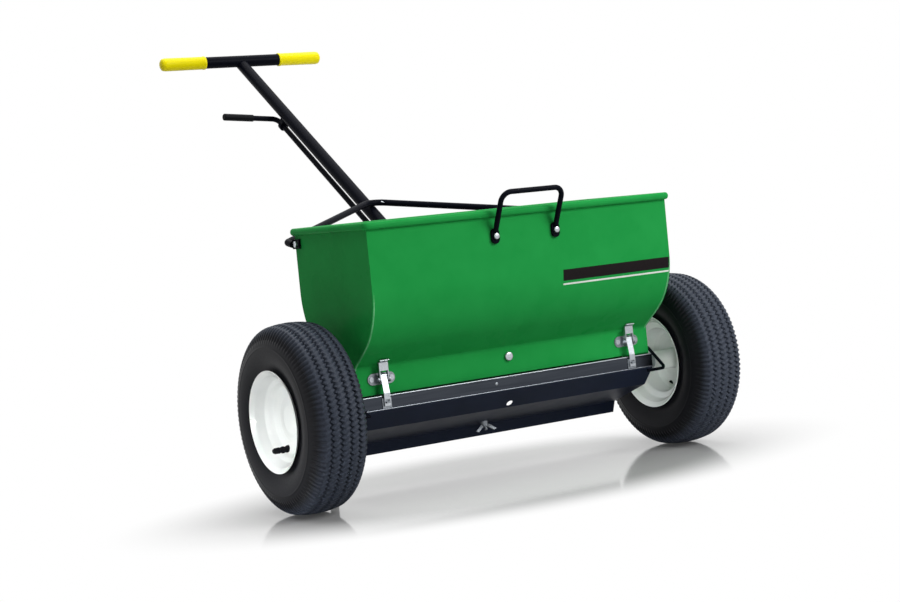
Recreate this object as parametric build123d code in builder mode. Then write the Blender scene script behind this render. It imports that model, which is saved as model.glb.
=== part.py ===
"""Walk-behind garden drop spreader: sheet-steel hopper, driven rotor, metering slide, T-handle."""

import os
from math import cos, hypot, radians, sin, tan

from build123d import *

os.makedirs("parts", exist_ok=True)

# Everything is drawn from the axle's centre: X along the axle, Y back to the handle, Z up.

# Wheels and axle
tyre_radius = 165.0
tyre_width = 108.0
wheel_gap = 88.0
rim_radius = 89.0
rim_width = 102.0
bead_radius = 76.0
rim_wall = 3.0
axle_radius = 8.0
hub_radius = 19.0
hub_inset = 48.0
bush_wall = 3.0
axle_reach = 14.0
drive_pin_radius = 3.0
drive_pin_inset = 26.0
press_gap = 0.05
collar_wall = 6.0
collar_length = 10.0
end_play = 0.3
crown_drop = 4.5
crown_inset = 18.0
belly_height = 30.0
shoulder_depth = 17.0
shoulder_inset = 7.0
casing = 9.0
groove_places = (9.0, 26.0)
groove_width = 4.8
groove_depth = 4.8
running_gap = 0.06
seat_gap = 0.2

# Hopper
hopper_length = 634.0
hopper_half_depth = 130.0
hopper_y = -6.0
throat_half_depth = 40.0
rim_top = 322.0
rim_height = 13.0
rim_overhang = 8.5
rim_lip = 1.5
bend_top = 207.0
bend_radius = 130.0
bend_angle = 52.0
skirt_bottom = 24.0
sheet = 1.6
tongue_depth = 26.0
bearing_radius = 15.0

# Bottom tray, metering slide and rotor
tray_sheet = 1.4
tray_reach = 12.0
tray_wall_low = -2.0
tray_floor = -19.6
tray_floor_half = 15.0
port_margin = 29.0
port_radius = 6.0
port_count = 13
slide_sheet = 1.6
slide_half_width = 12.5
slide_gap = 0.3
slide_travel = 24.6
clip_length = 34.0
rotor_radius = 17.0
rotor_core = 11.0
rotor_vanes = 6

# Scatter board under the tray
board_sheet = 1.6
board_end_gap = 1.5
board_crease = (-30.0, -37.4)
board_heel = (70.0, -74.0)
board_lip = (78.0, -96.0)
drain_radius = 6.5
drain_y = -36.4
hanger_radius = 3.0
board_bolt_y = 56.0

# T-handle, brace and twist control
handle_angle = 34.4
handle_foot_gap = 19.3
handle_foot_z = 163.2
bar_lift = 5.8
bar_length = 389.0
bar_radius = 12.7
grip_length = 105.0
grip_radius = 14.8
handle_length = 938.0
handle_radius = 12.7
tube_wall = 2.0
brace_radius = 6.35
brace_station = 312.0
control_drop = 28.5
control_radius = 5.7
lever_station = 737.0
lever_length = 128.0
lever_rise = 6.0
lever_grip_length = 70.0
lever_grip_radius = 7.4
crank_station = 34.0
crank_length = 36.0
crank_swing = 40.0
crank_pin_radius = 4.0

# Latches, carrying handle and parking leg
latch_inset = 51.0
latch_z = 51.0
latch_width = 54.0
latch_height = 20.0
lever_half_width = 9.0
carry_half_span = 64.0
carry_z = 276.0
carry_top = 350.0
carry_reach = 38.0
carry_radius = 4.7
leg_inset = 43.0
leg_pivot_z = 236.0
leg_reach = 42.0
leg_radius = 8.0
foot_radius = 17.0
foot_height = 12.0
bolt_radius = 3.0
bolt_slack = 0.2
bolt_head = 5.5
head_height = 4.0
bolt_nut = 5.0
skirt_bolt_head = 8.0
bracket_plate = 4.0
bracket_height = 40.0
bracket_width = 84.0
bracket_drop = 54.0
bracket_bolt_x = 30.0
leg_plate_width = 76.0
leg_bolt_x = 26.0

# Worked-out places
half_length = hopper_length / 2
front_wall = hopper_y - hopper_half_depth
back_wall = hopper_y + hopper_half_depth
front_skirt = hopper_y - throat_half_depth
back_skirt = hopper_y + throat_half_depth
inner_half_length = half_length - sheet
tray_front = front_skirt - tray_reach
wheel_x = half_length + wheel_gap
latch_x = half_length - latch_inset
leg_x = leg_inset - half_length
bracket_z = rim_top - bracket_drop
u_y = cos(radians(handle_angle))
u_z = sin(radians(handle_angle))
foot_y = back_wall + handle_foot_gap
foot_z = handle_foot_z
bar_back = foot_y + handle_length * u_y - bar_lift * u_z
bar_height = foot_z + handle_length * u_z + bar_lift * u_y
floor_z = -tyre_radius
front_reach = front_wall - carry_reach - carry_radius
back_reach = bar_back + grip_radius
stand = Location((0, -(front_reach + back_reach) / 2, tyre_radius))
made = {}
LOW = (Align.CENTER, Align.CENTER, Align.MIN)
HIGH = (Align.CENTER, Align.CENTER, Align.MAX)


def keep(node, piece):
    """Names a finished piece, stands it on the floor and writes its STEP file."""
    made[node] = piece.part.moved(stand)
    made[node].label = node
    export_step(made[node], f"parts/{node}.step")


def handle_plane(station, drop=0.0, across=0.0):
    """Plane square to the handle tube: X to the right, local Y below the tube, Z up the tube."""
    origin = (across, foot_y + station * u_y + drop * u_z, foot_z + station * u_z - drop * u_y)
    return Plane(origin=origin, x_dir=(1, 0, 0), z_dir=(0, u_y, u_z))


def facing(x, y, z, direction):
    """Plane whose normal looks along the given direction."""
    return Plane(origin=(x, y, z), z_dir=direction)


def fasteners(places, grip, head=bolt_head, height=head_height, nut=bolt_nut):
    """Bolts with a low head outside each place, a shank through the grip and a nut inside."""
    with BuildPart() as group:
        with Locations(*places):
            Cylinder(head, height, align=LOW)
            Cylinder(bolt_radius, grip + nut, align=HIGH)
        with BuildSketch(*[Plane(p.origin - p.z_dir * grip, z_dir=p.z_dir) for p in places]):
            RegularPolygon(head, 6)
        extrude(amount=-nut)
    return group


def bent_rod(points, radius, bends):
    """Round bar carried along straight runs with tangent bends."""
    with BuildPart() as rod:
        with BuildLine():
            FilletPolyline(*points, radius=bends)
        heading = Vector(*points[1]) - Vector(*points[0])
        with BuildSketch(Plane(origin=points[0], z_dir=heading)):
            Circle(radius)
        sweep()
    return rod


def sheet_outline(points, thickness):
    """Closed outline of a bent sheet: one face's corners, and the same moved to the left."""
    normals = []
    for (y0, z0), (y1, z1) in zip(points, points[1:]):
        run = hypot(y1 - y0, z1 - z0)
        normals.append(((z0 - z1) / run, (y1 - y0) / run))
    ends = [normals[0]] + normals + [normals[-1]]
    moved = []
    for (y, z), (ay, az), (by, bz) in zip(points, ends, ends[1:]):
        mitre = thickness / (1 + ay * by + az * bz)
        moved.append((y + (ay + by) * mitre, z + (az + bz) * mitre))
    return points + moved[::-1]


def bend_point(side, inset, angle):
    """Point on the hopper wall's bend, an angle past the upright, inset from the outer face."""
    radius = bend_radius - inset
    reach = hopper_half_depth - bend_radius + radius * cos(radians(angle))
    return (hopper_y + side * reach, bend_top - radius * sin(radians(angle)))


def knee_point(side, inset):
    """Where the sloping wall meets the upright skirt."""
    y, z = bend_point(side, inset, bend_angle)
    skirt_y = hopper_y + side * (throat_half_depth - inset)
    return (skirt_y, z - abs(y - skirt_y) / tan(radians(bend_angle)))


def wall_lines(side, inset, top):
    """One face of the hopper wall from its top edge down to the skirt's lower edge."""
    wall_y = hopper_y + side * (hopper_half_depth - inset)
    skirt_y = hopper_y + side * (throat_half_depth - inset)
    bend = [bend_point(side, inset, a) for a in (0, bend_angle / 2, bend_angle)]
    Line((wall_y, top), bend[0])
    ThreePointArc(*bend)
    Polyline(bend[2], knee_point(side, inset), (skirt_y, skirt_bottom))


# Hopper sheets
panel_top = rim_top - rim_lip
skirt_bolt_z = 56.0
rivet_span = 20.0
latch_plate = 2.0
dial_x = 120.0
dial_drop = 72.0
hole_depth = 24.0
sides = (-1, 1)
carry_pads = [facing(s * carry_half_span, front_wall, carry_z, (0, -1, 0)) for s in sides]
carry_places = [Plane(p.origin + p.z_dir * carry_radius, z_dir=p.z_dir) for p in carry_pads]
skirt_bolt_place = facing(0, front_skirt, skirt_bolt_z, (0, -1, 0))
plate_face = back_wall + bracket_plate
bracket_bolt_places = [facing(s * bracket_bolt_x, plate_face, bracket_z, (0, 1, 0)) for s in sides]
leg_bolt_places = [facing(leg_x + s * leg_bolt_x, plate_face, bracket_z, (0, 1, 0)) for s in sides]
latch_places = [facing(s * latch_x, front_skirt, latch_z, (0, -1, 0)) for s in sides]
rivet_y = front_skirt - latch_plate
rivet_xs = [s * latch_x + r * rivet_span for s in sides for r in sides]
rivet_places = [facing(x, rivet_y, latch_z, (0, -1, 0)) for x in rivet_xs]
dial_place = facing(dial_x, back_wall, rim_top - dial_drop, (0, 1, 0))

for node, side, holes in (
    ("front_panel", -1, carry_places + [skirt_bolt_place] + rivet_places),
    ("back_panel", 1, bracket_bolt_places + leg_bolt_places + [dial_place]),
):
    with BuildPart() as panel:
        with BuildSketch(Plane.YZ) as section:
            with BuildLine():
                wall_lines(side, 0.0, panel_top)
                wall_lines(side, sheet, panel_top)
                for z, depth in ((panel_top, hopper_half_depth), (skirt_bottom, throat_half_depth)):
                    Line((hopper_y + side * depth, z), (hopper_y + side * (depth - sheet), z))
            make_face()
        extrude(amount=inner_half_length, both=True)
        with Locations(*holes):
            Cylinder(bolt_radius + bolt_slack, hole_depth, mode=Mode.SUBTRACT)
    keep(node, panel)

ear_inset = 12.0
ear_drop = 28.0
ear_y = back_wall - ear_inset
ear_z = rim_top - ear_drop
hanger_inset = 8.0
hanger_rise = 9.0
hanger_hole = (front_skirt + hanger_inset, skirt_bottom + hanger_rise)
bearing_wall = 4.0
for node, side in (("left_end_panel", -1), ("right_end_panel", 1)):
    with BuildPart() as panel:
        with BuildSketch(Plane.YZ.offset(side * half_length)):
            with BuildLine():
                wall_lines(-1, 0.0, panel_top)
                wall_lines(1, 0.0, panel_top)
                Line((front_wall, panel_top), (back_wall, panel_top))
                Polyline(
                    (front_skirt, skirt_bottom),
                    (front_skirt, -tongue_depth / 2),
                    (-bearing_radius, -tongue_depth),
                    (bearing_radius, -tongue_depth),
                    (back_skirt, -tongue_depth / 2),
                    (back_skirt, skirt_bottom),
                )
            make_face()
            Circle(axle_radius + bearing_wall, mode=Mode.SUBTRACT)
            with Locations((ear_y, ear_z)):
                Circle(bolt_radius + bolt_slack, mode=Mode.SUBTRACT)
            with Locations(hanger_hole):
                Circle(hanger_radius + bolt_slack, mode=Mode.SUBTRACT)
        extrude(amount=-side * sheet)
    keep(node, panel)

with BuildPart() as rim_bead:
    with Locations((0, hopper_y, rim_top)):
        Box(
            hopper_length + 2 * rim_overhang,
            2 * (hopper_half_depth + rim_overhang),
            rim_height,
            align=HIGH,
        )
    fillet(rim_bead.edges().filter_by(Axis.Z), rim_overhang / 2)
    fillet(rim_bead.faces().sort_by(Axis.Z)[-1].edges(), rim_height * 0.4)
    fillet(rim_bead.faces().sort_by(Axis.Z)[0].edges(), rim_height * 0.3)
    with Locations((0, hopper_y, panel_top)):
        Box(hopper_length, 2 * hopper_half_depth, rim_height, align=HIGH, mode=Mode.SUBTRACT)
    with Locations((0, hopper_y, rim_top)):
        Box(
            hopper_length - 2 * sheet,
            2 * (hopper_half_depth - sheet),
            2 * rim_height,
            mode=Mode.SUBTRACT,
        )
keep("rim_bead", rim_bead)

# Carrying handle on the front
pad_width = 16.0
pad_height = 27.0
carry_path = [
    (-carry_half_span, front_wall - carry_radius, carry_z + pad_height / 4),
    (-carry_half_span, front_wall - carry_reach, carry_top),
    (carry_half_span, front_wall - carry_reach, carry_top),
    (carry_half_span, front_wall - carry_radius, carry_z + pad_height / 4),
]
carry_bend = 18.0
head_room = 7.5
carry_handle = bent_rod(carry_path, carry_radius, carry_bend)
with carry_handle:
    with BuildSketch(Plane.XZ.offset(-front_wall)) as pads:
        with Locations(*[(s * carry_half_span, carry_z) for s in sides]):
            SlotOverall(pad_height, pad_width, rotation=90)
    extrude(pads.sketch, amount=carry_radius)
    with Locations(*carry_pads):
        Cylinder(bolt_radius + bolt_slack, hole_depth, mode=Mode.SUBTRACT)
        with Locations((0, 0, carry_radius)):
            Cylinder(head_room, carry_radius * 2, align=LOW, mode=Mode.SUBTRACT)
keep("carry_handle", carry_handle)
keep("carry_handle_bolts", fasteners(carry_places, carry_radius + sheet))
keep("skirt_bolt", fasteners([skirt_bolt_place], sheet, skirt_bolt_head))

# Bottom tray: one folded stainless sheet that wraps the skirt and makes the metering floor
tray_top = 22.0
tray_back = back_skirt + tray_sheet + seat_gap
port_pitch = 2 * (half_length - port_margin) / (port_count - 1)
port_places = [(port_margin - half_length + i * port_pitch, 0) for i in range(port_count)]
with BuildPart() as bottom_tray:
    with BuildSketch(Plane.YZ):
        Polygon(
            *sheet_outline(
                [
                    (front_skirt - seat_gap, tray_top),
                    (tray_front, tray_top),
                    (tray_front, tray_wall_low),
                    (-tray_floor_half, tray_floor),
                    (tray_floor_half, tray_floor),
                    (tray_back, tray_wall_low),
                    (tray_back, tray_top),
                ],
                tray_sheet,
            ),
            align=None,
        )
    extrude(amount=inner_half_length - seat_gap, both=True)
    with BuildSketch(Plane.XY.offset(tray_floor)):
        with Locations(*port_places):
            Circle(port_radius)
    extrude(amount=2 * tray_sheet, both=True, mode=Mode.SUBTRACT)
keep("bottom_tray", bottom_tray)

# Metering slide, shut at rest: its ports stand one travel to the left of the tray's ports
slide_top = tray_floor - slide_gap
slide_end_gap = 4.0
slide_half_length = inner_half_length - slide_travel - slide_end_gap
tongue_x = 65.0
tongue_width = 40.0
tongue_end = 62.0
with BuildPart() as slide_plate:
    with BuildSketch(Plane.XY.offset(slide_top)):
        with Locations((-slide_travel / 2, 0)):
            Rectangle(2 * slide_half_length, 2 * slide_half_width)
        with Locations((tongue_x, 0)):
            Rectangle(tongue_width, tongue_end, align=(Align.CENTER, Align.MIN))
        with Locations(*[(x - slide_travel, y) for x, y in port_places[1:]]):
            Circle(port_radius, mode=Mode.SUBTRACT)
    extrude(amount=-slide_sheet)
keep("slide_plate", slide_plate)

clip_reach = half_length - 1.4 * clip_length
clip_places = [share * clip_reach for share in (-1, -0.55, -0.1, 0.55, 1)]
clip_wall = 2.0
clip_lip = 4.0
clip_edge = slide_half_width + slide_gap
clip_low = slide_top - slide_sheet - slide_gap
clip_under = clip_low - tray_sheet
with BuildPart() as slide_clips:
    for side in (-1, 1):
        with BuildSketch(*[Plane.YZ.offset(x) for x in clip_places]):
            Polygon(
                (side * clip_edge, tray_floor),
                (side * (clip_edge + clip_wall), tray_floor),
                (side * (clip_edge + clip_wall), clip_under),
                (side * (clip_edge - clip_lip), clip_under),
                (side * (clip_edge - clip_lip), clip_low),
                (side * clip_edge, clip_low),
                align=None,
            )
        extrude(amount=clip_length / 2, both=True)
keep("slide_clips", slide_clips)

# Yoke that carries the crank pin's sideways push down to the slide
pin_plane = handle_plane(crank_station, control_drop + crank_length)
pin_y, pin_z = pin_plane.origin.Y, pin_plane.origin.Z
yoke_sheet = 4.0
yoke_reach = 16.0
yoke_slot_gap = 0.35
pin_rise = 7.0
head_width = 40.0
yoke_seat = 22.0
yoke_bolt_y = tongue_end - yoke_seat / 2
yoke_x = -slide_travel / 2
heel = (pin_y + yoke_reach * u_z, pin_z - yoke_reach * u_y)
crown = (pin_y - yoke_reach * u_z, pin_z + yoke_reach * u_y)
yoke_low_x = yoke_x - head_width / 2
tongue_low_x = tongue_x - tongue_width / 2
tongue_high_x = tongue_x + tongue_width / 2
tongue_edge = (tongue_end, slide_top)
tongue_face = slide_top + yoke_sheet
with BuildPart() as slide_yoke:
    yoke_runs = (
        (tongue_low_x, tongue_high_x, [(tongue_end - yoke_seat, slide_top), tongue_edge, heel]),
        (yoke_low_x, tongue_high_x, [tongue_edge, heel]),
        (yoke_low_x, yoke_low_x + head_width, [tongue_edge, heel, crown]),
    )
    for low_x, high_x, run in yoke_runs:
        with BuildSketch(Plane.YZ.offset(low_x)):
            Polygon(*sheet_outline(run, yoke_sheet), align=None)
        extrude(amount=high_x - low_x)
    slot_centre = pin_plane.origin + Vector(yoke_x, 0, 0)
    with BuildSketch(Plane(slot_centre, x_dir=(0, u_z, -u_y), z_dir=(0, u_y, u_z))):
        SlotOverall(2 * crank_pin_radius + pin_rise, 2 * (crank_pin_radius + yoke_slot_gap))
    extrude(amount=3 * yoke_sheet, both=True, mode=Mode.SUBTRACT)
    with Locations((tongue_x, yoke_bolt_y, slide_top)):
        Cylinder(bolt_radius + bolt_slack, hole_depth, mode=Mode.SUBTRACT)
keep("slide_yoke", slide_yoke)

# Scatter board: folded pan below the ports, falling away to the back
board_front_gap = 1.0
board_drop = 2.2
board_top = (tray_front - board_front_gap, tray_wall_low - board_drop)
board_half_length = inner_half_length - board_end_gap
board_run = [board_top, board_crease, board_heel, board_lip]
fall_y = board_crease[0] - board_top[0]
fall_z = board_crease[1] - board_top[1]
drain_z = board_top[1] + fall_z * (drain_y - board_top[0]) / fall_y
bolt_slope = (board_heel[1] - board_crease[1]) / (board_heel[0] - board_crease[0])
board_bolt_z = board_crease[1] + bolt_slope * (board_bolt_y - board_crease[0])
board_bolt_run = hypot(1, bolt_slope)
bolt_normal = Vector(0, bolt_slope / board_bolt_run, -1 / board_bolt_run)
with BuildPart() as scatter_board:
    with BuildSketch(Plane.YZ):
        Polygon(*sheet_outline(board_run, board_sheet), align=None)
    extrude(amount=board_half_length, both=True)
    with Locations(facing(0, drain_y, drain_z, (0, fall_z, -fall_y))):
        Cylinder(drain_radius, hole_depth / 2, mode=Mode.SUBTRACT)
    with Locations(facing(0, board_bolt_y, board_bolt_z, bolt_normal)):
        Cylinder(bolt_radius + bolt_slack, hole_depth / 2, mode=Mode.SUBTRACT)
keep("scatter_board", scatter_board)

# Strap from the tray's back wall down to the board's middle bolt
strap_sheet = 3.0
strap_width = 26.0
strap_y = tray_back + seat_gap
strap_toe = 9.0
strap_drop = 4.0
seat_lift = board_sheet + seat_gap / 2
seat_y = board_bolt_y - seat_lift * bolt_normal.Y
seat_z = board_bolt_z - seat_lift * bolt_normal.Z
strap_ends = (strap_y, board_bolt_y + strap_toe)
strap_seat = [(y, seat_z + bolt_slope * (y - seat_y)) for y in strap_ends]
with BuildPart() as board_strap:
    with BuildSketch(Plane.YZ):
        Polygon(
            *sheet_outline([(strap_y, tray_top - strap_drop)] + strap_seat, strap_sheet),
            align=None,
        )
    extrude(amount=strap_width / 2, both=True)
    with Locations(facing(0, board_bolt_y, board_bolt_z, bolt_normal)):
        Cylinder(bolt_radius + bolt_slack, hole_depth / 2, mode=Mode.SUBTRACT)
keep("board_strap", board_strap)

nut_height = 9.0
nut_foot = 8.0
wing_span = 44.0
wing_root = 4.0
wing_seat = 2.0
wing_rise = 6.0
wing_tip = 5.0
wing_sheet = 2.8
board_head = 3.0
bolt_axis = facing(0, board_bolt_y, board_bolt_z, bolt_normal)
bolt_stack = seat_lift + strap_sheet
bolt_tail = nut_height + wing_rise
with BuildPart() as board_bolt:
    with Locations(bolt_axis):
        Cylinder(bolt_radius, bolt_tail, align=LOW)
        Cylinder(bolt_radius, bolt_stack, align=HIGH)
        with Locations((0, 0, -bolt_stack)):
            Cylinder(bolt_head, board_head, align=HIGH)
keep("board_bolt", board_bolt)
with BuildPart() as wing_nut:
    with Locations(bolt_axis):
        Cone(nut_foot, bolt_head, nut_height, align=LOW)
    wing_facing = (0, bolt_normal.Z, -bolt_normal.Y)
    with BuildSketch(Plane(bolt_axis.origin, x_dir=(1, 0, 0), z_dir=wing_facing)):
        for s in sides:
            with BuildLine():
                Polyline(
                    (s * wing_root, -wing_seat),
                    (s * wing_span / 2, -nut_height - wing_rise),
                    (s * (wing_span / 2 - wing_tip), -nut_height - wing_rise - wing_tip / 2),
                    (s * wing_root, wing_seat / 4 - nut_height),
                    close=True,
                )
            make_face()
    extrude(amount=wing_sheet / 2, both=True)
    with Locations(bolt_axis):
        Cylinder(bolt_radius + press_gap, 4 * nut_height, mode=Mode.SUBTRACT)
keep("wing_nut", wing_nut)

# Bent-rod hangers that hold the board's ends up to the end panels
hang_gap = 1.5
hang_hook = 8.0
hang_reach = 29.0
hang_toe = 12.0
hang_drop = 2.0
hang_x = half_length + hanger_radius + hang_gap
hang_knee = (tray_front - hang_reach, tray_wall_low - hanger_radius)
hang_end = (board_top[0], board_top[1] - hanger_radius - hang_drop)
right_hanger = bent_rod(
    [
        (half_length - hang_hook, *hanger_hole),
        (hang_x, *hanger_hole),
        (hang_x, *hang_knee),
        (hang_x, *hang_end),
        (board_half_length - hang_toe, *hang_end),
    ],
    hanger_radius,
    hanger_radius + bolt_slack,
)
with right_hanger:
    mirror(about=Plane.YZ)
keep("board_hangers", right_hanger)

# Axle, rotor and bearings
axle_end = wheel_x + axle_reach
with BuildPart() as axle_shaft:
    Cylinder(axle_radius, 2 * axle_end, rotation=(0, 90, 0))
    with Locations((drive_pin_inset - wheel_x, 0, 0)):
        Cylinder(drive_pin_radius + press_gap, 4 * axle_radius, mode=Mode.SUBTRACT)
keep("axle_shaft", axle_shaft)
rotor_end_gap = 12.0
vane_sheet = 3.0
rotor_half = inner_half_length - rotor_end_gap
with BuildPart() as rotor:
    with BuildSketch(Plane.YZ):
        Circle(rotor_core)
        with PolarLocations(0, rotor_vanes):
            Rectangle(rotor_radius, vane_sheet, align=(Align.MIN, Align.CENTER))
        Circle(rotor_radius, mode=Mode.INTERSECT)
        Circle(axle_radius + press_gap, mode=Mode.SUBTRACT)
    extrude(amount=rotor_half, both=True)
keep("agitator_rotor", rotor)
bearing_flange = 4.0
bearing_depth = 8.0
with BuildPart() as axle_bearings:
    for side in (-1, 1):
        with BuildSketch(Plane.YZ.offset(side * half_length)):
            Circle(bearing_radius)
        extrude(amount=side * bearing_flange)
        with BuildSketch(Plane.YZ.offset(side * half_length)):
            Circle(axle_radius + bearing_wall - press_gap)
        extrude(amount=-side * bearing_depth)
    with BuildSketch(Plane.YZ):
        Circle(axle_radius + running_gap)
    extrude(amount=2 * half_length, both=True, mode=Mode.SUBTRACT)
keep("axle_bearings", axle_bearings)

# Wheels: pressed and dished steel rims with an inner hub, and pneumatic tyres
hub_inner = wheel_x - hub_inset
well_depth = 12.0
well = bead_radius - well_depth
disc_face = 14.0
disc_step = 6.0
flange_lean = 2.0
outer_seat = 22.0
inner_seat = 18.0
well_slope = 8.0
half_rim = rim_width / 2
half_tyre = tyre_width / 2
crown_half = half_tyre - crown_inset
toe_inset = 4.0
tyre_toe = half_rim - toe_inset
heel_gap = 0.4
toe_gap = 0.6
lip_gap = 2.0
bead_wall = 14.0
crown_wall = 12.0
casing_drop = 22.0
valve_radius = 4.0
valve_seat = 39.0
valve_angle = -69.0
valve_length = 27.0
valve_cap = 9.0
valve_hole = 15.0
valve_pitch = well - 1.5 * rim_wall - valve_radius
valve_y = valve_pitch * cos(radians(valve_angle))
valve_z = valve_pitch * sin(radians(valve_angle))
for name, side in (("left", -1), ("right", 1)):
    spin = Plane((side * wheel_x, 0, 0), x_dir=(0, 0, 1), z_dir=(0, side, 0))
    with BuildPart() as rim:
        with BuildSketch(spin):
            Polygon(
                *sheet_outline(
                    [
                        (rim_radius, half_rim),
                        (bead_radius + rim_wall, half_rim - flange_lean),
                        (bead_radius, half_rim - outer_seat),
                        (well, half_rim - outer_seat - well_slope),
                        (well, inner_seat + well_slope - half_rim),
                        (bead_radius, inner_seat - half_rim),
                        (bead_radius + rim_wall, flange_lean - half_rim),
                        (rim_radius, -half_rim),
                    ],
                    -rim_wall,
                ),
                align=None,
            )
            Polygon(
                *sheet_outline(
                    [
                        (0, disc_face + disc_step),
                        (hub_radius + well_slope, disc_face + disc_step),
                        (hub_radius + 2 * well_slope, disc_face),
                        (well - rim_wall - well_slope, disc_face),
                        (well - rim_wall / 2, disc_face + disc_step),
                    ],
                    rim_wall,
                ),
                align=None,
            )
            with Locations((hub_radius / 2, -hub_inset)):
                hub_run = hub_inset + disc_face + disc_step
                Rectangle(hub_radius, hub_run, align=(Align.CENTER, Align.MIN))
        revolve(axis=Axis((0, 0, 0), (1, 0, 0)))
        with BuildSketch(Plane.YZ.offset(side * hub_inner)):
            Circle(axle_radius + (press_gap if side < 0 else bush_wall))
        extrude(amount=side * (axle_end - hub_inner + toe_gap), mode=Mode.SUBTRACT)
        if side < 0:
            with Locations((drive_pin_inset - wheel_x, 0, 0)):
                Cylinder(drive_pin_radius + press_gap, 4 * hub_radius, mode=Mode.SUBTRACT)
        valve_x = side * (wheel_x + half_rim - valve_seat)
        with Locations(facing(valve_x, valve_y, valve_z, (side, 0, 0))):
            Cylinder(valve_radius + seat_gap / 2, valve_hole, align=LOW, mode=Mode.SUBTRACT)
    keep(f"{name}_rim", rim)
    with BuildPart() as valve:
        with Locations(facing(valve_x, valve_y, valve_z, (side, 0, 0))):
            Cylinder(valve_radius, valve_length, align=LOW)
            with Locations((0, 0, valve_length)):
                Cylinder(valve_radius * 0.8, valve_cap, align=LOW)
    keep(f"{name}_valve", valve)

    with BuildPart() as tyre:
        with BuildSketch(spin):
            with BuildLine():
                for s in sides:
                    Spline(
                        (rim_radius + lip_gap, s * tyre_toe),
                        (rim_radius + belly_height, s * half_tyre),
                        (tyre_radius - shoulder_depth, s * (half_tyre - shoulder_inset)),
                        (tyre_radius - crown_drop, s * crown_half),
                        tangents=((1.0, s * 0.6), (0.35, -s)),
                    )
                ThreePointArc(
                    (tyre_radius - crown_drop, -crown_half),
                    (tyre_radius, 0),
                    (tyre_radius - crown_drop, crown_half),
                )
                Polyline(
                    (rim_radius + lip_gap, -tyre_toe),
                    (bead_radius + rim_wall + toe_gap, -tyre_toe),
                    (bead_radius + heel_gap, outer_seat - lip_gap - half_rim),
                    (bead_radius + bead_wall, outer_seat - lip_gap - half_rim),
                    (rim_radius + belly_height, casing - half_tyre),
                    (tyre_radius - casing_drop, casing_drop - half_tyre),
                    (tyre_radius - crown_wall, 0),
                    (tyre_radius - casing_drop, half_tyre - casing_drop),
                    (rim_radius + belly_height, half_tyre - casing),
                    (bead_radius + bead_wall, half_rim + lip_gap - outer_seat),
                    (bead_radius + heel_gap, half_rim + lip_gap - outer_seat),
                    (bead_radius + rim_wall + toe_gap, tyre_toe),
                    (rim_radius + lip_gap, tyre_toe),
                )
            make_face()
            for place in groove_places:
                floor_radius = tyre_radius - groove_depth - crown_drop * (place / crown_half) ** 2
                with Locations((floor_radius, place), (floor_radius, -place)):
                    Rectangle(
                        4 * groove_depth,
                        groove_width,
                        align=(Align.MIN, Align.CENTER),
                        mode=Mode.SUBTRACT,
                    )
        revolve(axis=Axis((0, 0, 0), (1, 0, 0)))
    keep(f"{name}_tyre", tyre)

with BuildPart() as drive_pin:
    with Locations((drive_pin_inset - wheel_x, 0, 0)):
        Cylinder(drive_pin_radius, 2 * (hub_radius + drive_pin_radius))
keep("drive_pin", drive_pin)
with BuildPart() as right_hub_bush:
    with BuildSketch(Plane.YZ.offset(hub_inner)):
        Circle(axle_radius + bush_wall - press_gap)
        Circle(axle_radius + running_gap, mode=Mode.SUBTRACT)
    extrude(amount=axle_end - hub_inner - 2 * toe_gap)
keep("right_hub_bush", right_hub_bush)
collar_start = half_length + bearing_flange + end_play
collar_places = (collar_start, -collar_start - collar_length, hub_inner - end_play - collar_length)
with BuildPart() as axle_collars:
    with BuildSketch(*[Plane.YZ.offset(x) for x in collar_places]):
        Circle(axle_radius + collar_wall)
        Circle(axle_radius + press_gap, mode=Mode.SUBTRACT)
    extrude(amount=collar_length)
keep("axle_collars", axle_collars)

# T-handle: one straight tube coped to the cross bar, with moulded grips
bracket_stations = (14.0, 42.0)
cope_gap = 0.15
with BuildPart() as handle_tube:
    with BuildSketch(handle_plane(0)):
        Circle(handle_radius)
        Circle(handle_radius - tube_wall, mode=Mode.SUBTRACT)
    extrude(amount=handle_length)
    with Locations((0, bar_back, bar_height)):
        Cylinder(bar_radius + cope_gap, 4 * handle_radius, rotation=(0, 90, 0), mode=Mode.SUBTRACT)
    with Locations(*[handle_plane(s).origin for s in bracket_stations]):
        Cylinder(bolt_radius + bolt_slack, 4 * handle_radius, rotation=(0, 90, 0), mode=Mode.SUBTRACT)
keep("handle_tube", handle_tube)
grip_end = 4.0
grip_gap = 0.1
with BuildPart() as cross_bar:
    with BuildSketch(Plane.YZ):
        with Locations((bar_back, bar_height)):
            Circle(bar_radius)
            Circle(bar_radius - tube_wall, mode=Mode.SUBTRACT)
    extrude(amount=bar_length / 2 - grip_end, both=True)
keep("cross_bar", cross_bar)
for node, side in (("left_grip", -1), ("right_grip", 1)):
    with BuildPart() as grip:
        with BuildSketch(Plane.YZ.offset(side * (bar_length / 2 - grip_length))):
            with Locations((bar_back, bar_height)):
                Circle(grip_radius)
        extrude(amount=side * grip_length)
        fillet(grip.edges().sort_by(Axis.X)[-1 if side > 0 else 0], grip_end)
        with BuildSketch(Plane.YZ.offset(side * (bar_length / 2 - grip_end + grip_gap))):
            with Locations((bar_back, bar_height)):
                Circle(bar_radius + grip_gap)
        extrude(amount=-side * grip_length, mode=Mode.SUBTRACT)
    keep(node, grip)

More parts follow.
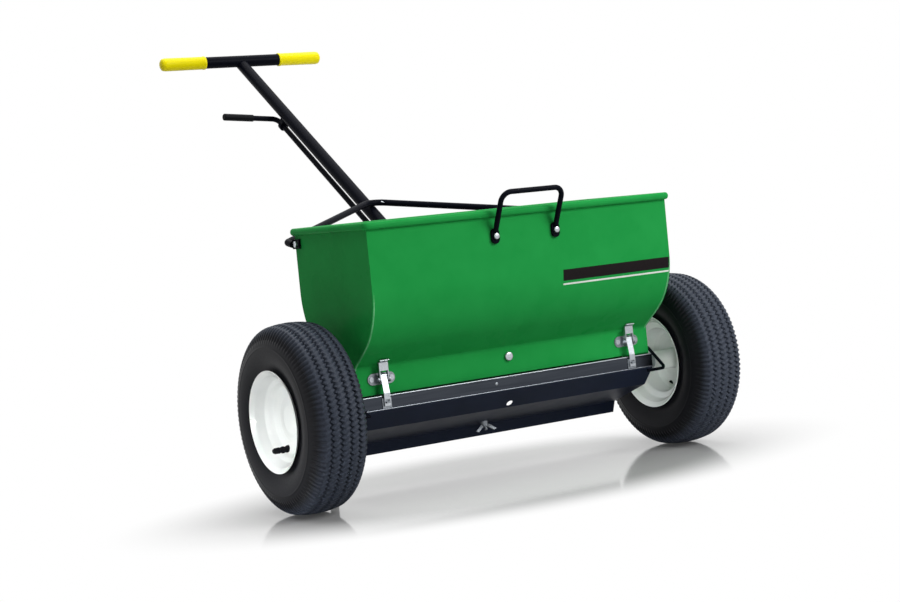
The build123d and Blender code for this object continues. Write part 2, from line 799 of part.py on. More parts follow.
# Bracket that bolts the tube's foot to the hopper's back wall
cheek = 4.0
cheek_x = handle_radius + seat_gap
cheek_start = 2.0
cheek_tail = 10.0
cheek_margin = 3.3
cheek_end = bracket_stations[1] + cheek_tail
cheek_half = handle_radius + cheek_margin
cheek_places = ((cheek_start, cheek_half), (cheek_end, cheek_half), (cheek_end, -cheek_half))
cheek_corners = [handle_plane(s, d).origin for s, d in cheek_places]
wall_plate = (Align.CENTER, Align.MIN, Align.CENTER)
with BuildPart() as handle_bracket:
    with Locations((0, back_wall, bracket_z)):
        Box(bracket_width, bracket_plate, bracket_height, align=wall_plate)
    for side in (-1, 1):
        with BuildSketch(Plane.YZ.offset(side * cheek_x)):
            Polygon(
                (back_wall, bracket_z + bracket_height / 2),
                (back_wall, bracket_z - bracket_height / 2),
                *[(p.Y, p.Z) for p in cheek_corners],
                align=None,
            )
        extrude(amount=side * cheek)
    with Locations(*bracket_bolt_places):
        Cylinder(bolt_radius + bolt_slack, hole_depth, mode=Mode.SUBTRACT)
    with Locations(*[handle_plane(s).origin for s in bracket_stations]):
        Cylinder(bolt_radius + bolt_slack, 8 * handle_radius, rotation=(0, 90, 0), mode=Mode.SUBTRACT)
keep("handle_bracket", handle_bracket)
wall_bolt_places = bracket_bolt_places + leg_bolt_places
keep("back_wall_bolts", fasteners(wall_bolt_places, bracket_plate + sheet))
cheek_face = Vector(cheek_x + cheek, 0, 0)
foot_places = [Plane(handle_plane(s).origin + cheek_face, z_dir=(1, 0, 0)) for s in bracket_stations]
keep("handle_foot_bolts", fasteners(foot_places, 2 * (cheek_x + cheek)))

# Brace rod from both end panels to the top of the handle tube
knee_reach = 18.0
knee_rise = 4.0
brace_gap = 0.5
brace_toe = 9.0
brace_knee = 12.0
brace_bend = 40.0
ear_sheet = 4.0
ear_length = 25.0
ear_height = 17.0
ear_shift = 3.5
knee_y = back_wall + knee_reach
knee_z = ear_z + knee_rise
brace_x = half_length + brace_radius + brace_gap
apex = handle_plane(brace_station, -(handle_radius + brace_radius + seat_gap)).origin
rise = Vector(0, apex.Y - knee_y, apex.Z - knee_z)
half_spread = brace_x / hypot(brace_x, rise.length)
corner = apex + rise.normalized() * brace_bend * (1 / half_spread - 1)
handle_brace = bent_rod(
    [
        (-brace_x, ear_y + brace_toe, ear_z),
        (-brace_x, knee_y, knee_z),
        (0, corner.Y, corner.Z),
        (brace_x, knee_y, knee_z),
        (brace_x, ear_y + brace_toe, ear_z),
    ],
    brace_radius,
    [brace_knee, brace_bend, brace_knee],
)
with handle_brace:
    for side in (-1, 1):
        with Locations((side * (half_length + ear_sheet / 2), ear_y + ear_shift, ear_z)):
            Box(ear_sheet, ear_length, ear_height)
        with Locations((side * half_length, ear_y, ear_z)):
            Cylinder(bolt_radius + bolt_slack, hole_depth, rotation=(0, 90, 0), mode=Mode.SUBTRACT)
keep("handle_brace", handle_brace)
brace_places = [facing(s * (half_length + ear_sheet), ear_y, ear_z, (s, 0, 0)) for s in sides]
keep("brace_bolts", fasteners(brace_places, ear_sheet + sheet))

# Twist control: guides on the tube, the rod with its bent lever, its crank and collars
guide_length = 10.0
guide_wall = 4.0
guide_width = 14.0
guide_gap = 0.1
guide_below = 34.0
upper_guide = lever_station - guide_below
lower_guide = 110.0
with BuildPart() as rod_guides:
    with BuildSketch(handle_plane(upper_guide), handle_plane(lower_guide)):
        with Locations((0, control_drop / 2)):
            Rectangle(guide_width, control_drop)
        with Locations((0, control_drop)):
            Circle(control_radius + guide_wall)
        Circle(handle_radius + guide_gap, mode=Mode.SUBTRACT)
        with Locations((0, control_drop)):
            Circle(control_radius + running_gap, mode=Mode.SUBTRACT)
    extrude(amount=guide_length)
keep("rod_guides", rod_guides)
lever_x = -cos(radians(lever_rise))
lever_d = -sin(radians(lever_rise))
rod_tail = 8.0
lever_bend = 14.0
lever_cap = 3.0
rod_low = handle_plane(crank_station - rod_tail, control_drop).origin
rod_high = handle_plane(lever_station, control_drop).origin
lever_drop = control_drop + lever_d * lever_length
lever_tip = handle_plane(lever_station, lever_drop, lever_x * lever_length).origin
rod_points = [tuple(rod_low), tuple(rod_high), tuple(lever_tip)]
keep("control_rod", bent_rod(rod_points, control_radius, lever_bend))
lever_line = (lever_tip - rod_high).normalized()
with BuildPart() as lever_grip:
    with Locations(Plane(lever_tip, z_dir=lever_line)):
        with Locations((0, 0, lever_cap)):
            Cylinder(lever_grip_radius, lever_grip_length, align=HIGH)
        Cylinder(control_radius + press_gap, lever_grip_length, align=HIGH, mode=Mode.SUBTRACT)
    fillet(lever_grip.faces().sort_by(Axis.X)[0].edges(), lever_cap * 0.8)
keep("lever_grip", lever_grip)
crank_start = -crank_swing / 2
crank_pin = (crank_length * sin(radians(crank_start)), crank_length * cos(radians(crank_start)))
crank_sheet = 6.0
crank_gap = 1.0
crank_wall = 5.0
pin_wall = 4.0
pin_tail = 5.0
with BuildPart() as rod_crank:
    with BuildSketch(handle_plane(crank_station + crank_gap, control_drop)):
        Circle(control_radius + crank_wall)
        with Locations(crank_pin):
            Circle(crank_pin_radius + pin_wall)
        make_hull()
        Circle(control_radius + press_gap, mode=Mode.SUBTRACT)
    extrude(amount=crank_sheet)
    with BuildSketch(handle_plane(crank_station + crank_gap, control_drop)):
        with Locations(crank_pin):
            Circle(crank_pin_radius)
    extrude(amount=-yoke_sheet - pin_tail)
keep("rod_crank", rod_crank)
rod_collar_length = 8.0
rod_collar_wall = 4.5
rod_collar_stations = (
    lower_guide + guide_length + end_play,
    lower_guide - end_play - rod_collar_length,
)
with BuildPart() as rod_collars:
    with BuildSketch(*[handle_plane(s, control_drop) for s in rod_collar_stations]):
        Circle(control_radius + rod_collar_wall)
        Circle(control_radius + press_gap, mode=Mode.SUBTRACT)
    extrude(amount=rod_collar_length)
keep("rod_collars", rod_collars)
yoke_bolt_place = Plane((tongue_x, yoke_bolt_y, tongue_face), z_dir=(0, 0, 1))
with BuildPart() as yoke_bolt:
    with Locations(yoke_bolt_place):
        Cylinder(bolt_head, head_height, align=LOW)
        Cylinder(bolt_radius, yoke_sheet, align=HIGH)
keep("yoke_bolt", yoke_bolt)

# Draw latches that pull the tray up to the skirt
pivot_f = 9.0
pivot_drop = 1.0
pivot_z = latch_z - pivot_drop
link = 7.0
latch_pin = 2.0
latch_sheet = 1.6
cheek_gap = 1.0
pin_boss = 2.5
cheek_boss = 3.0
rivet_head = 4.5
rivet_height = 1.6
rivet_tail = 2.0
pin_proud = 0.6
pin_start = 0.4
flange_in = lever_half_width - latch_sheet
cheek_in = lever_half_width + cheek_gap
pivot = (front_skirt - pivot_f, pivot_z)
link_pivot = (front_skirt - pivot_f, pivot_z + link)
web_reach = 3.0
web_start = 15.0
web_height = 30.0
web_shift = 0.2
web_f = pivot_f + web_reach
web_low = pivot_z + web_start
web_top = pivot_z + web_height
web_middle = front_skirt - web_f + web_shift
flange_depth = 3.4
flange_height = 22.0
thumb_reach = 7.0
thumb_rise = 4.0
bail_reach = 2.8
bail_shoulder = 4.0
bail_tail = 5.0
bail_f = tray_reach + bail_reach
bail_knee = tray_top + bail_shoulder
bail_gap = 1.4
catch_z = 9.0
catch_tab = 3.0
catch_plate = 18.0
catch_width = 7.0
catch_reach = 8.0
catch_rise = 2.0
eye_width = 9.2
eye_height = 6.8
eye_drop = 0.3
bail_end = catch_z - bail_tail
for name, side in (("left", -1), ("right", 1)):
    x0 = side * latch_x
    with BuildPart() as latch_lever:
        for flange_side in (-1, 1):
            with BuildSketch(Plane.YZ.offset(x0 + flange_side * flange_in)):
                with Locations(pivot):
                    Circle(latch_pin + pin_boss)
                with Locations((web_middle, web_top - flange_height / 2)):
                    Rectangle(flange_depth, flange_height)
                make_hull()
                with Locations(pivot, link_pivot):
                    Circle(latch_pin + running_gap, mode=Mode.SUBTRACT)
            extrude(amount=flange_side * (lever_half_width - flange_in))
        with BuildSketch(Plane.YZ.offset(x0)):
            Polygon(
                *sheet_outline(
                    [
                        (front_skirt - web_f, web_low),
                        (front_skirt - web_f, web_top),
                        (front_skirt - web_f - thumb_reach, web_top + thumb_rise),
                    ],
                    latch_sheet,
                ),
                align=None,
            )
        extrude(amount=lever_half_width, both=True)
    keep(f"{name}_latch_lever", latch_lever)
    with BuildPart() as bail:
        with BuildSketch(Plane.YZ.offset(x0)):
            with Locations(link_pivot):
                Circle(latch_pin)
        extrude(amount=lever_half_width, both=True)
        with BuildSketch(Plane.YZ.offset(x0)):
            Polygon(
                *sheet_outline(
                    [
                        link_pivot,
                        (front_skirt - bail_f, bail_knee),
                        (front_skirt - bail_f, bail_end),
                    ],
                    -latch_sheet,
                ),
                align=None,
            )
        extrude(amount=flange_in - bail_gap, both=True)
        with Locations((x0, front_skirt - bail_f, catch_z - eye_drop)):
            Box(eye_width, catch_reach, eye_height, align=LOW, mode=Mode.SUBTRACT)
    keep(f"{name}_latch_bail", bail)
with BuildPart() as latch_bases:
    with BuildSketch(*[Plane(p.origin, x_dir=(1, 0, 0), z_dir=(0, -1, 0)) for p in latch_places]):
        SlotOverall(latch_width, latch_height)
        with Locations((-rivet_span, 0), (rivet_span, 0)):
            Circle(bolt_radius + bolt_slack, mode=Mode.SUBTRACT)
    extrude(amount=latch_plate)
    for x0 in (-latch_x, latch_x):
        for cheek_side in (-1, 1):
            with BuildSketch(Plane.YZ.offset(x0 + cheek_side * cheek_in)):
                with Locations((front_skirt - latch_plate / 2, latch_z)):
                    Rectangle(latch_plate, latch_height * 0.8)
                with Locations(pivot):
                    Circle(latch_pin + cheek_boss)
                make_hull()
                with Locations(pivot):
                    Circle(latch_pin + press_gap, mode=Mode.SUBTRACT)
            extrude(amount=cheek_side * latch_plate)
keep("latch_bases", latch_bases)
with BuildPart() as latch_pins:
    for x0 in (-latch_x, latch_x):
        for pin_side in (-1, 1):
            with BuildSketch(Plane.YZ.offset(x0 + pin_side * (flange_in - pin_start))):
                with Locations(pivot):
                    Circle(latch_pin)
            extrude(amount=pin_side * (cheek_in + latch_plate + pin_proud - flange_in + pin_start))
keep("latch_pins", latch_pins)
on_tray = (Align.CENTER, Align.MAX, Align.MIN)
with BuildPart() as latch_catches:
    for x0 in (-latch_x, latch_x):
        with Locations((x0, tray_front, tray_wall_low + catch_rise)):
            Box(catch_plate, tray_sheet, catch_plate, align=on_tray)
        with Locations((x0, tray_front, catch_z)):
            Box(catch_width, catch_reach, catch_tab, align=on_tray)
keep("latch_catches", latch_catches)
keep("latch_rivets", fasteners(rivet_places, latch_plate + sheet, rivet_head, rivet_height, rivet_tail))

# Folding parking leg behind the hopper
leg_pivot_y = back_wall + leg_reach
leg_lean = 8.0
leg_pin_radius = 4.0
leg_pin_gap = 0.1
leg_pin_head = 3.0
leg_boss = 7.0
leg_cheek_sheet = 3.0
leg_side_gap = 0.4
leg_cheek = leg_radius + leg_side_gap
stop_gap = 1.2
stop_drop = 6.0
stop_height = 8.0
foot_rounding = 3.0
leg_pivot = Vector(leg_x, leg_pivot_y, leg_pivot_z)
leg_bottom = Vector(leg_x, leg_pivot_y - leg_lean, floor_z + foot_height)
leg_line = (leg_bottom - leg_pivot).normalized()
leg_run = (leg_bottom - leg_pivot).length
with BuildPart() as leg_bracket:
    with Locations((leg_x, back_wall, bracket_z)):
        Box(leg_plate_width, bracket_plate, bracket_height, align=wall_plate)
    for side in (-1, 1):
        with BuildSketch(Plane.YZ.offset(leg_x + side * leg_cheek)):
            with Locations((back_wall + bracket_plate / 2, bracket_z)):
                Rectangle(bracket_plate, bracket_height)
            with Locations((leg_pivot_y, leg_pivot_z)):
                Circle(leg_pin_radius + leg_boss)
            make_hull()
            with Locations((leg_pivot_y, leg_pivot_z)):
                Circle(leg_pin_radius + leg_pin_gap, mode=Mode.SUBTRACT)
        extrude(amount=side * leg_cheek_sheet)
    with Locations((leg_x, leg_pivot_y - leg_radius - stop_gap, leg_pivot_z - stop_drop)):
        stop_align = (Align.CENTER, Align.MAX, Align.MAX)
        Box(2 * leg_cheek, leg_cheek_sheet, stop_height, align=stop_align)
    with Locations(*leg_bolt_places):
        Cylinder(bolt_radius + bolt_slack, hole_depth, mode=Mode.SUBTRACT)
keep("leg_bracket", leg_bracket)
with BuildPart() as leg_pin:
    with Locations(Plane(leg_pivot - Vector(leg_cheek + leg_cheek_sheet, 0, 0), z_dir=(1, 0, 0))):
        Cylinder(leg_pin_radius, 2 * (leg_cheek + leg_cheek_sheet + stop_gap), align=LOW)
        Cylinder(leg_pin_radius + leg_pin_head, leg_pin_head, align=HIGH)
keep("leg_pin", leg_pin)
with BuildPart() as parking_leg:
    with Locations(Plane(leg_pivot, z_dir=leg_line)):
        Cylinder(leg_radius, leg_run + leg_radius, align=LOW)
        Sphere(leg_radius)
    with Locations(leg_bottom):
        Box(6 * leg_radius, 6 * leg_radius, 4 * leg_radius, align=HIGH, mode=Mode.SUBTRACT)
    with Locations(leg_pivot):
        pin_bore = leg_pin_radius + running_gap
        Cylinder(pin_bore, 4 * leg_radius, rotation=(0, 90, 0), mode=Mode.SUBTRACT)
keep("parking_leg", parking_leg)
with BuildPart() as leg_foot:
    with Locations((leg_x, leg_bottom.Y, floor_z)):
        Cylinder(foot_radius, foot_height, align=LOW)
    fillet(leg_foot.edges().sort_by(Axis.Z)[-1], foot_rounding)
keep("leg_foot", leg_foot)

# Rate dial on the back wall
dial_radius = 32.0
dial_sheet = 1.2
dial_rim = 4.0
dial_gap = 0.3
plate_size = 78.0
plate_corner = 8.0
knob_height = 14.0
knob_radius = 10.0
pointer_base = 10.0
pointer_edge = 12.0
stud_head = 7.0
stud_nut = 6.0
on_wall = Plane(dial_place.origin, x_dir=(-1, 0, 0), z_dir=(0, 1, 0))
with BuildPart() as dial_plate:
    with BuildSketch(on_wall):
        RectangleRounded(plate_size, plate_size, plate_corner)
        Circle(bolt_radius + bolt_slack, mode=Mode.SUBTRACT)
    extrude(amount=dial_sheet)
keep("dial_plate", dial_plate)
with BuildPart() as rate_dial:
    with BuildSketch(on_wall.offset(dial_sheet + dial_gap)):
        Circle(dial_radius)
        with Locations((0, dial_radius - pointer_base / 5)):
            Triangle(a=pointer_base, b=pointer_edge, c=pointer_edge, align=(Align.CENTER, Align.MIN))
    extrude(amount=dial_rim)
    with Locations(on_wall.offset(dial_sheet + dial_gap)):
        Cylinder(knob_radius, knob_height, align=LOW)
        Cylinder(bolt_radius + running_gap, 8 * knob_height, mode=Mode.SUBTRACT)
keep("rate_dial", rate_dial)
stud_run = dial_sheet + knob_height + 2 * dial_gap
with BuildPart() as dial_stud:
    with Locations(on_wall.offset(stud_run)):
        Cylinder(stud_head, dial_rim, align=LOW)
        Cylinder(bolt_radius, stud_run + sheet, align=HIGH)
    with Locations(on_wall.offset(-sheet)):
        Cylinder(stud_nut, dial_rim, align=HIGH)
keep("dial_stud", dial_stud)

whole = Compound(children=list(made.values())).bounding_box()
print("size", whole.size, "low", whole.min, "high", whole.max)
print({node: len(part.solids()) for node, part in made.items()})
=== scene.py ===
from math import radians

import bmesh
import bpy
import numpy as np
from mathutils import Matrix, Vector


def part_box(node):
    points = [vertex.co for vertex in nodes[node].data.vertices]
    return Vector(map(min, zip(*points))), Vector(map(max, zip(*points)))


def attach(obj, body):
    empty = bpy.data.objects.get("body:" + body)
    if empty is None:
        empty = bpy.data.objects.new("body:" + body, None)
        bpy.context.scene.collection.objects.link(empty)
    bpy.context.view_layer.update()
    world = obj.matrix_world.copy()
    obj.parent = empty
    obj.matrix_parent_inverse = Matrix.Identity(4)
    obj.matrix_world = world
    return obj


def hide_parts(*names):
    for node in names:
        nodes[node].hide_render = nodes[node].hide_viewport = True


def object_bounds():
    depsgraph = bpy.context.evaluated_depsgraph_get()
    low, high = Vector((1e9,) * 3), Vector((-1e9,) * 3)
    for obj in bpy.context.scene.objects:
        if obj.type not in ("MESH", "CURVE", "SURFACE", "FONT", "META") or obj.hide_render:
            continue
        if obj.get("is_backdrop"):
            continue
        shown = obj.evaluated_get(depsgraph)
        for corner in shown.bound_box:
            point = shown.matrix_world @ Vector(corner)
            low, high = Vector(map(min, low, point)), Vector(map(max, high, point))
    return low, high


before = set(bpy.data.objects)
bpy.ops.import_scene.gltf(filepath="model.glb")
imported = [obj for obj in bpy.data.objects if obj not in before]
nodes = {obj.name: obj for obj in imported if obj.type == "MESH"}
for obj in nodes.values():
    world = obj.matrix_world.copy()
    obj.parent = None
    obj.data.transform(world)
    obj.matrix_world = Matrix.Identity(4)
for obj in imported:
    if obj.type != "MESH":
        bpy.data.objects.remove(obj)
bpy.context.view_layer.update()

# Hopper walls: front and back are single sheets of steel, upright at the top, rolled inwards in a
# wide bend and folded upright again into the skirt that the bottom tray closes. The sheets are
# welded to the end panels, then the whole hopper is dipped and stoved in green enamel.


def middle(node):
    """The centre of a node's box."""
    return sum(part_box(node), Vector()) / 2


axle = middle("axle_shaft")
hopper_lead = 0.006
hopper_y = axle.y - hopper_lead
panel_low, panel_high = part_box("front_panel")
half_depth = hopper_y - panel_low.y
throat_half = 0.040
bend_radius = 0.130
bend_corner_z = axle.z + 0.1436
bend_steps = 20
knee_radius = 0.009
knee_z = axle.z + 0.0733
sheet_thickness = 0.0016
green = "#249546"


def linear(code):
    """Linear red, green, blue and alpha of an sRGB hex colour, by the sRGB transfer curve."""
    value = np.array([int(code[i : i + 2], 16) for i in (1, 3, 5)]) / 255
    curve = np.where(value <= 0.04045, value / 12.92, ((value + 0.055) / 1.055) ** 2.4)
    return (*curve, 1.0)


def add_node(material, kind, sockets=(), **settings):
    """Adds one shader node: settings are its properties, sockets its input values or links."""
    node = material.node_tree.nodes.new(kind)
    for key, value in settings.items():
        setattr(node, key, value)
    for key, value in dict(sockets).items():
        if isinstance(value, bpy.types.NodeSocket):
            material.node_tree.links.new(value, node.inputs[key])
        else:
            node.inputs[key].default_value = value
    return node


def finish(name, colour, drift, roughness, grain, depth, stretch=(1, 1, 1), **sockets):
    """A surface finish: the colour drifts towards a second one over a noise of real grain size in
    metres. The noise moves the gloss by a tenth, and stands up by its depth in metres."""
    material = bpy.data.materials.new(name)
    material.use_nodes = True
    shader = material.node_tree.nodes["Principled BSDF"]
    place = add_node(material, "ShaderNodeTexCoord")
    spread = add_node(
        material, "ShaderNodeMapping", {"Vector": place.outputs["Object"], "Scale": stretch}
    )
    noise = add_node(
        material,
        "ShaderNodeTexNoise",
        {"Vector": spread.outputs["Vector"], "Scale": 1 / grain, "Detail": 2.0, "Roughness": 0.5},
    )
    least, most = 0.2, 0.8
    tint = add_node(material, "ShaderNodeValToRGB", {"Fac": noise.outputs["Fac"]})
    tint.color_ramp.interpolation = "EASE"
    tint.color_ramp.elements[0].position = least
    tint.color_ramp.elements[1].position = most
    tint.color_ramp.elements[0].color = linear(drift)
    tint.color_ramp.elements[1].color = linear(colour)
    gloss = add_node(
        material,
        "ShaderNodeMapRange",
        {
            "Value": noise.outputs["Fac"],
            "From Min": least,
            "From Max": most,
            "To Min": roughness * 0.9,
            "To Max": roughness * 1.1,
        },
    )
    bump = add_node(
        material,
        "ShaderNodeBump",
        {"Height": noise.outputs["Fac"], "Distance": depth, "Strength": 1.0},
    )
    links = material.node_tree.links
    links.new(tint.outputs["Color"], shader.inputs["Base Color"])
    links.new(gloss.outputs["Result"], shader.inputs["Roughness"])
    links.new(bump.outputs["Normal"], shader.inputs["Normal"])
    for key, value in sockets.items():
        shader.inputs[key.replace("_", " ").title().replace("Ior", "IOR")].default_value = value
    return material


def rounded(points, radii, steps=12):
    """Straight runs with a tangent arc at each inner corner. The arc starts and ends radius times
    tan(half the turn) from the corner, and its points swing between the two end directions."""
    points = np.asarray(points, float)
    run = np.diff(points, axis=0)
    run /= np.linalg.norm(run, axis=1, keepdims=True)
    pieces = [points[:1]]
    for corner, before, after, radius in zip(points[1:-1], run, run[1:], radii):
        turn = np.arccos(np.clip(before @ after, -1, 1))
        reach = radius * np.tan(turn / 2)
        side = after - before * (before @ after)
        side /= np.linalg.norm(side)
        angle = np.linspace(0, turn, steps)[:, None]
        start = corner - before * reach
        pieces.append(start + before * radius * np.sin(angle) + side * radius * (1 - np.cos(angle)))
    return np.vstack(pieces + [points[-1:]])


def surface(name, grid, wrap=(False, True), caps=True, crease=38):
    """Mesh over a grid of points, one four-cornered face per cell. Wrap closes rows or columns on
    themselves, caps close the first and last row, and edges sharper than the crease stay sharp."""
    rows, columns = grid.shape[:2]
    index = np.arange(rows * columns).reshape(rows, columns)
    ends = [index[0].tolist(), index[-1].tolist()] if caps else []
    if wrap[0]:
        index = np.vstack([index, index[:1]])
    if wrap[1]:
        index = np.hstack([index, index[:, :1]])
    cells = np.stack([index[:-1, :-1], index[:-1, 1:], index[1:, 1:], index[1:, :-1]], axis=-1)
    mesh = bpy.data.meshes.new(name)
    mesh.from_pydata(grid.reshape(-1, 3), [], cells.reshape(-1, 4).tolist() + ends)
    shell = bmesh.new()
    shell.from_mesh(mesh)
    bmesh.ops.remove_doubles(shell, verts=shell.verts, dist=1e-7)
    bmesh.ops.recalc_face_normals(shell, faces=shell.faces)
    shell.to_mesh(mesh)
    shell.free()
    mesh.polygons.foreach_set("use_smooth", np.ones(len(mesh.polygons), bool))
    mesh.set_sharp_from_angle(angle=radians(crease))
    return mesh


def fit(name, mesh, material, body, slot, *stands_for):
    """Puts a finished mesh on its body, with its material, in place of the nodes that it stands
    for. The slot is not used.
    """
    piece = bpy.data.objects.new(name, mesh)
    bpy.context.scene.collection.objects.link(piece)
    mesh.materials.clear()
    mesh.materials.append(material)
    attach(piece, body)
    if stands_for:
        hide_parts(*stands_for)
    return piece


def coat(material, *names):
    """Gives CAD nodes their real finish in place of the frame's plain colour."""
    for name in names:
        nodes[name].data.materials.clear()
        nodes[name].data.materials.append(material)


def extruded(outline, low, high):
    """A closed outline in Y and Z carried along X from the low to the high end."""
    grid = np.zeros((2, len(outline), 3))
    grid[:, :, 0] = [[low], [high]]
    grid[:, :, 1:] = outline
    return grid


def wall_profile(side, inset):
    """One face of a hopper wall in Y and Z: upright, wide bend, slope, knee, upright skirt."""
    reach = np.array([half_depth, half_depth, throat_half, throat_half]) - inset
    heights = [panel_high.z, bend_corner_z, knee_z, panel_low.z]
    corners = np.stack([hopper_y + side * reach, heights], axis=1)
    return rounded(corners, (bend_radius - inset, knee_radius + inset), bend_steps)


# Stoved enamel: clean mid green with a soft gloss, and slow waves a few centimetres across that
# keep the big sheets from looking like flat plastic.
green_enamel = finish(
    "green stove enamel",
    green,
    "#1f8f41",
    roughness=0.28,
    grain=0.06,
    depth=0.00004,
    specular_ior_level=0.012,
)
coat(green_enamel, "front_panel", "back_panel")
for node, side in (("front_panel", -1), ("back_panel", 1)):
    outline = np.vstack([wall_profile(side, 0.0), wall_profile(side, sheet_thickness)[::-1]])
    wall = surface(f"{node} sheet", extruded(outline, panel_low.x, panel_high.x))
    fit(f"{node}_sheet", wall, green_enamel, "chassis", "green_enamel", node)

# End panels: flat steel blanks that follow the hopper's section and run down to carry the axle
# bearings. The front and back sheets wrap their edges in a small bend, drawn paler as a painted
# highlight.
corner_radius = 0.0026
corner_sides = 12

# Painted highlight on the corner bends: a paler, glossier green enamel that draws the hopper's
# edges as fine light lines.
corner_painted_highlight = finish(
    "green enamel with painted highlight",
    "#6dbd82",
    "#3f9c5c",
    roughness=0.2,
    grain=0.04,
    depth=0.00002,
    specular_ior_level=0.5,
)


def corner_bend(wall_side, centre_x):
    """A round bead along a wall's edge: the path is the wall's profile, one radius inside its face,
    and each ring lies in the plane of the X axis and the profile's normal."""
    line = wall_profile(wall_side, corner_radius)
    along = np.gradient(line, axis=0)
    along /= np.linalg.norm(along, axis=1, keepdims=True)
    turn = np.linspace(0, 2 * np.pi, corner_sides, endpoint=False)
    grid = np.zeros((len(line), corner_sides, 3))
    grid[:, :, 0] = centre_x + corner_radius * np.cos(turn)
    grid[:, :, 1] = line[:, :1] - along[:, 1:] * corner_radius * np.sin(turn)
    grid[:, :, 2] = line[:, 1:] + along[:, :1] * corner_radius * np.sin(turn)
    return grid


coat(green_enamel, "left_end_panel", "right_end_panel")
for node, side in (("left_end_panel", -1), ("right_end_panel", 1)):
    edge_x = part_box(node)[0 if side < 0 else 1].x - side * corner_radius
    for wall_side, wall in ((-1, "front"), (1, "back")):
        # Each corner bead wears the painted highlight.
        seam = surface("hopper corner bend", corner_bend(wall_side, edge_x))
        fit(f"{node}_corner_{wall}", seam, corner_painted_highlight, "chassis", "green_enamel")

# Rolled rim: the hopper's top edge is turned over a wire all round, which stiffens it and leaves
# a smooth round bead. It is part of the sheets and wears the same enamel.
rim_low, rim_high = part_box("rim_bead")
bead_half = (rim_high.z - rim_low.z) / 2
bead_inset = 0.0055
bead_corner = 0.006
bead_corner_steps = 8
bead_sides = 24


def bead_ring():
    """A ring round the hopper's top: a quarter turn at each of the four corners, joined by straight
    runs, and at each point an oval as high as the bead, swung out from the corner's centre."""
    quarter = np.linspace(0, np.pi / 2, bead_corner_steps)
    swing = (quarter + np.arange(4)[:, None] * np.pi / 2).ravel()
    across = rim_high.x - bead_inset - bead_corner
    deep = (rim_high.y - rim_low.y) / 2 - bead_inset - bead_corner
    corner_x = np.repeat([across, -across, -across, across], bead_corner_steps)
    corner_y = np.repeat([deep, deep, -deep, -deep], bead_corner_steps)
    turn = np.linspace(0, 2 * np.pi, bead_sides, endpoint=False)
    reach = bead_corner + bead_inset * np.cos(turn)
    grid = np.zeros((len(swing), bead_sides, 3))
    grid[:, :, 0] = corner_x[:, None] + np.cos(swing)[:, None] * reach
    grid[:, :, 1] = hopper_y + corner_y[:, None] + np.sin(swing)[:, None] * reach
    grid[:, :, 2] = (rim_low.z + rim_high.z) / 2 + bead_half * np.sin(turn)
    return grid


bead = surface("rolled rim bead", bead_ring(), wrap=(True, True), caps=False, crease=60)
coat(green_enamel, "rim_bead")
fit("rolled_rim", bead, green_enamel, "chassis", "green_enamel", "rim_bead")

# Trim band: printed vinyl film laid on the right half of the front sheet, a plain black band with
# a thin pale line under it. It follows the wall and stands a fraction of a millimetre proud.
film_lift = 0.0003
film_thickness = 0.00024
film_rows = 12
film_left, film_right = 0.075, 0.3145
band_low, band_high = axle.z + 0.183, axle.z + 0.203
line_low, line_high = axle.z + 0.1755, axle.z + 0.1785
wall_line = wall_profile(-1, -film_lift)


def film(name, low_z, high_z, material):
    """A strip of film on the front wall: the wall's own profile between two heights, along X."""
    heights = np.linspace(high_z, low_z, film_rows)
    depth = np.interp(heights, wall_line[::-1, 1], wall_line[::-1, 0])
    back = np.stack([depth + film_thickness, heights], axis=1)
    front = np.stack([depth, heights], axis=1)
    strip = surface(name, extruded(np.vstack([front, back[::-1]]), film_left, film_right))
    fit(name, strip, material, "chassis", "black_plastic")


# Black printed vinyl: flat, even black, smoother and duller than the enamel around it.
black_film = finish(
    "black printed vinyl",
    "#171113",
    "#140f11",
    roughness=0.35,
    grain=0.006,
    depth=0.000005,
    specular_ior_level=0.08,
)
# White printed vinyl: a thin pale line, slightly warm and matt.
pale_film = finish(
    "white printed vinyl",
    "#dfe3de",
    "#d8dcd7",
    roughness=0.35,
    grain=0.006,
    depth=0.000005,
    specular_ior_level=0.2,
)
film("trim_band", band_low, band_high, black_film)
film("trim_line", line_low, line_high, pale_film)

# Axle and agitator: a ground steel shaft that the left wheel drives, with a bent rotor pressed on
# inside the hopper. It runs in two bronze bearings and is kept in place by set collars.

# Ground steel: bright, cool metal with a fine satin grain.
bright_steel = finish(
    "ground bright steel",
    "#b4b8bd",
    "#a3a7ac",
    roughness=0.26,
    grain=0.001,
    depth=0.000005,
    metallic=1.0,
)
# Sintered bronze: warm brown metal, dulled by the oil in its pores.
bronze = finish(
    "oil-filled bronze",
    "#a9783f",
    "#8c6233",
    roughness=0.38,
    grain=0.0015,
    depth=0.00001,
    metallic=1.0,
)
# Bright zinc: pale grey metal with small, cloudy spangles.
zinc_plate = finish(
    "bright zinc plate",
    "#bcc1c6",
    "#a3a8ae",
    roughness=0.3,
    grain=0.002,
    depth=0.00001,
    metallic=1.0,
)
coat(bright_steel, "axle_shaft", "agitator_rotor")
coat(bronze, "axle_bearings", "right_hub_bush")
coat(zinc_plate, "axle_collars", "drive_pin")

# Pneumatic tyres: moulded rubber on a cloth carcass. The crown carries five ribs cut by zig-zag
# grooves, the shoulders short radial lugs, and the sidewalls are smooth with one thin raised ring.
tyre_low, tyre_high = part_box("left_tyre")
tyre_radius = (tyre_high.z - tyre_low.z) / 2
half_tyre = (tyre_high.x - tyre_low.x) / 2
# Crown: zig-zag grooves, with slanted notches in the ribs between them.
groove_places = np.array([-0.026, -0.009, 0.009, 0.026])
groove_half = 0.0019
groove_edge = 0.0016
groove_depth = 0.0048
zigzag = 0.0024
notch_depth = 0.0022
notch_pitch = 0.017
notch_open, notch_slope = 0.25, 0.6
notch_reach = 0.0062
notch_fade = 0.003
notch_loss = 0.6
crown_inset = 0.0175
crown_blend = 0.004
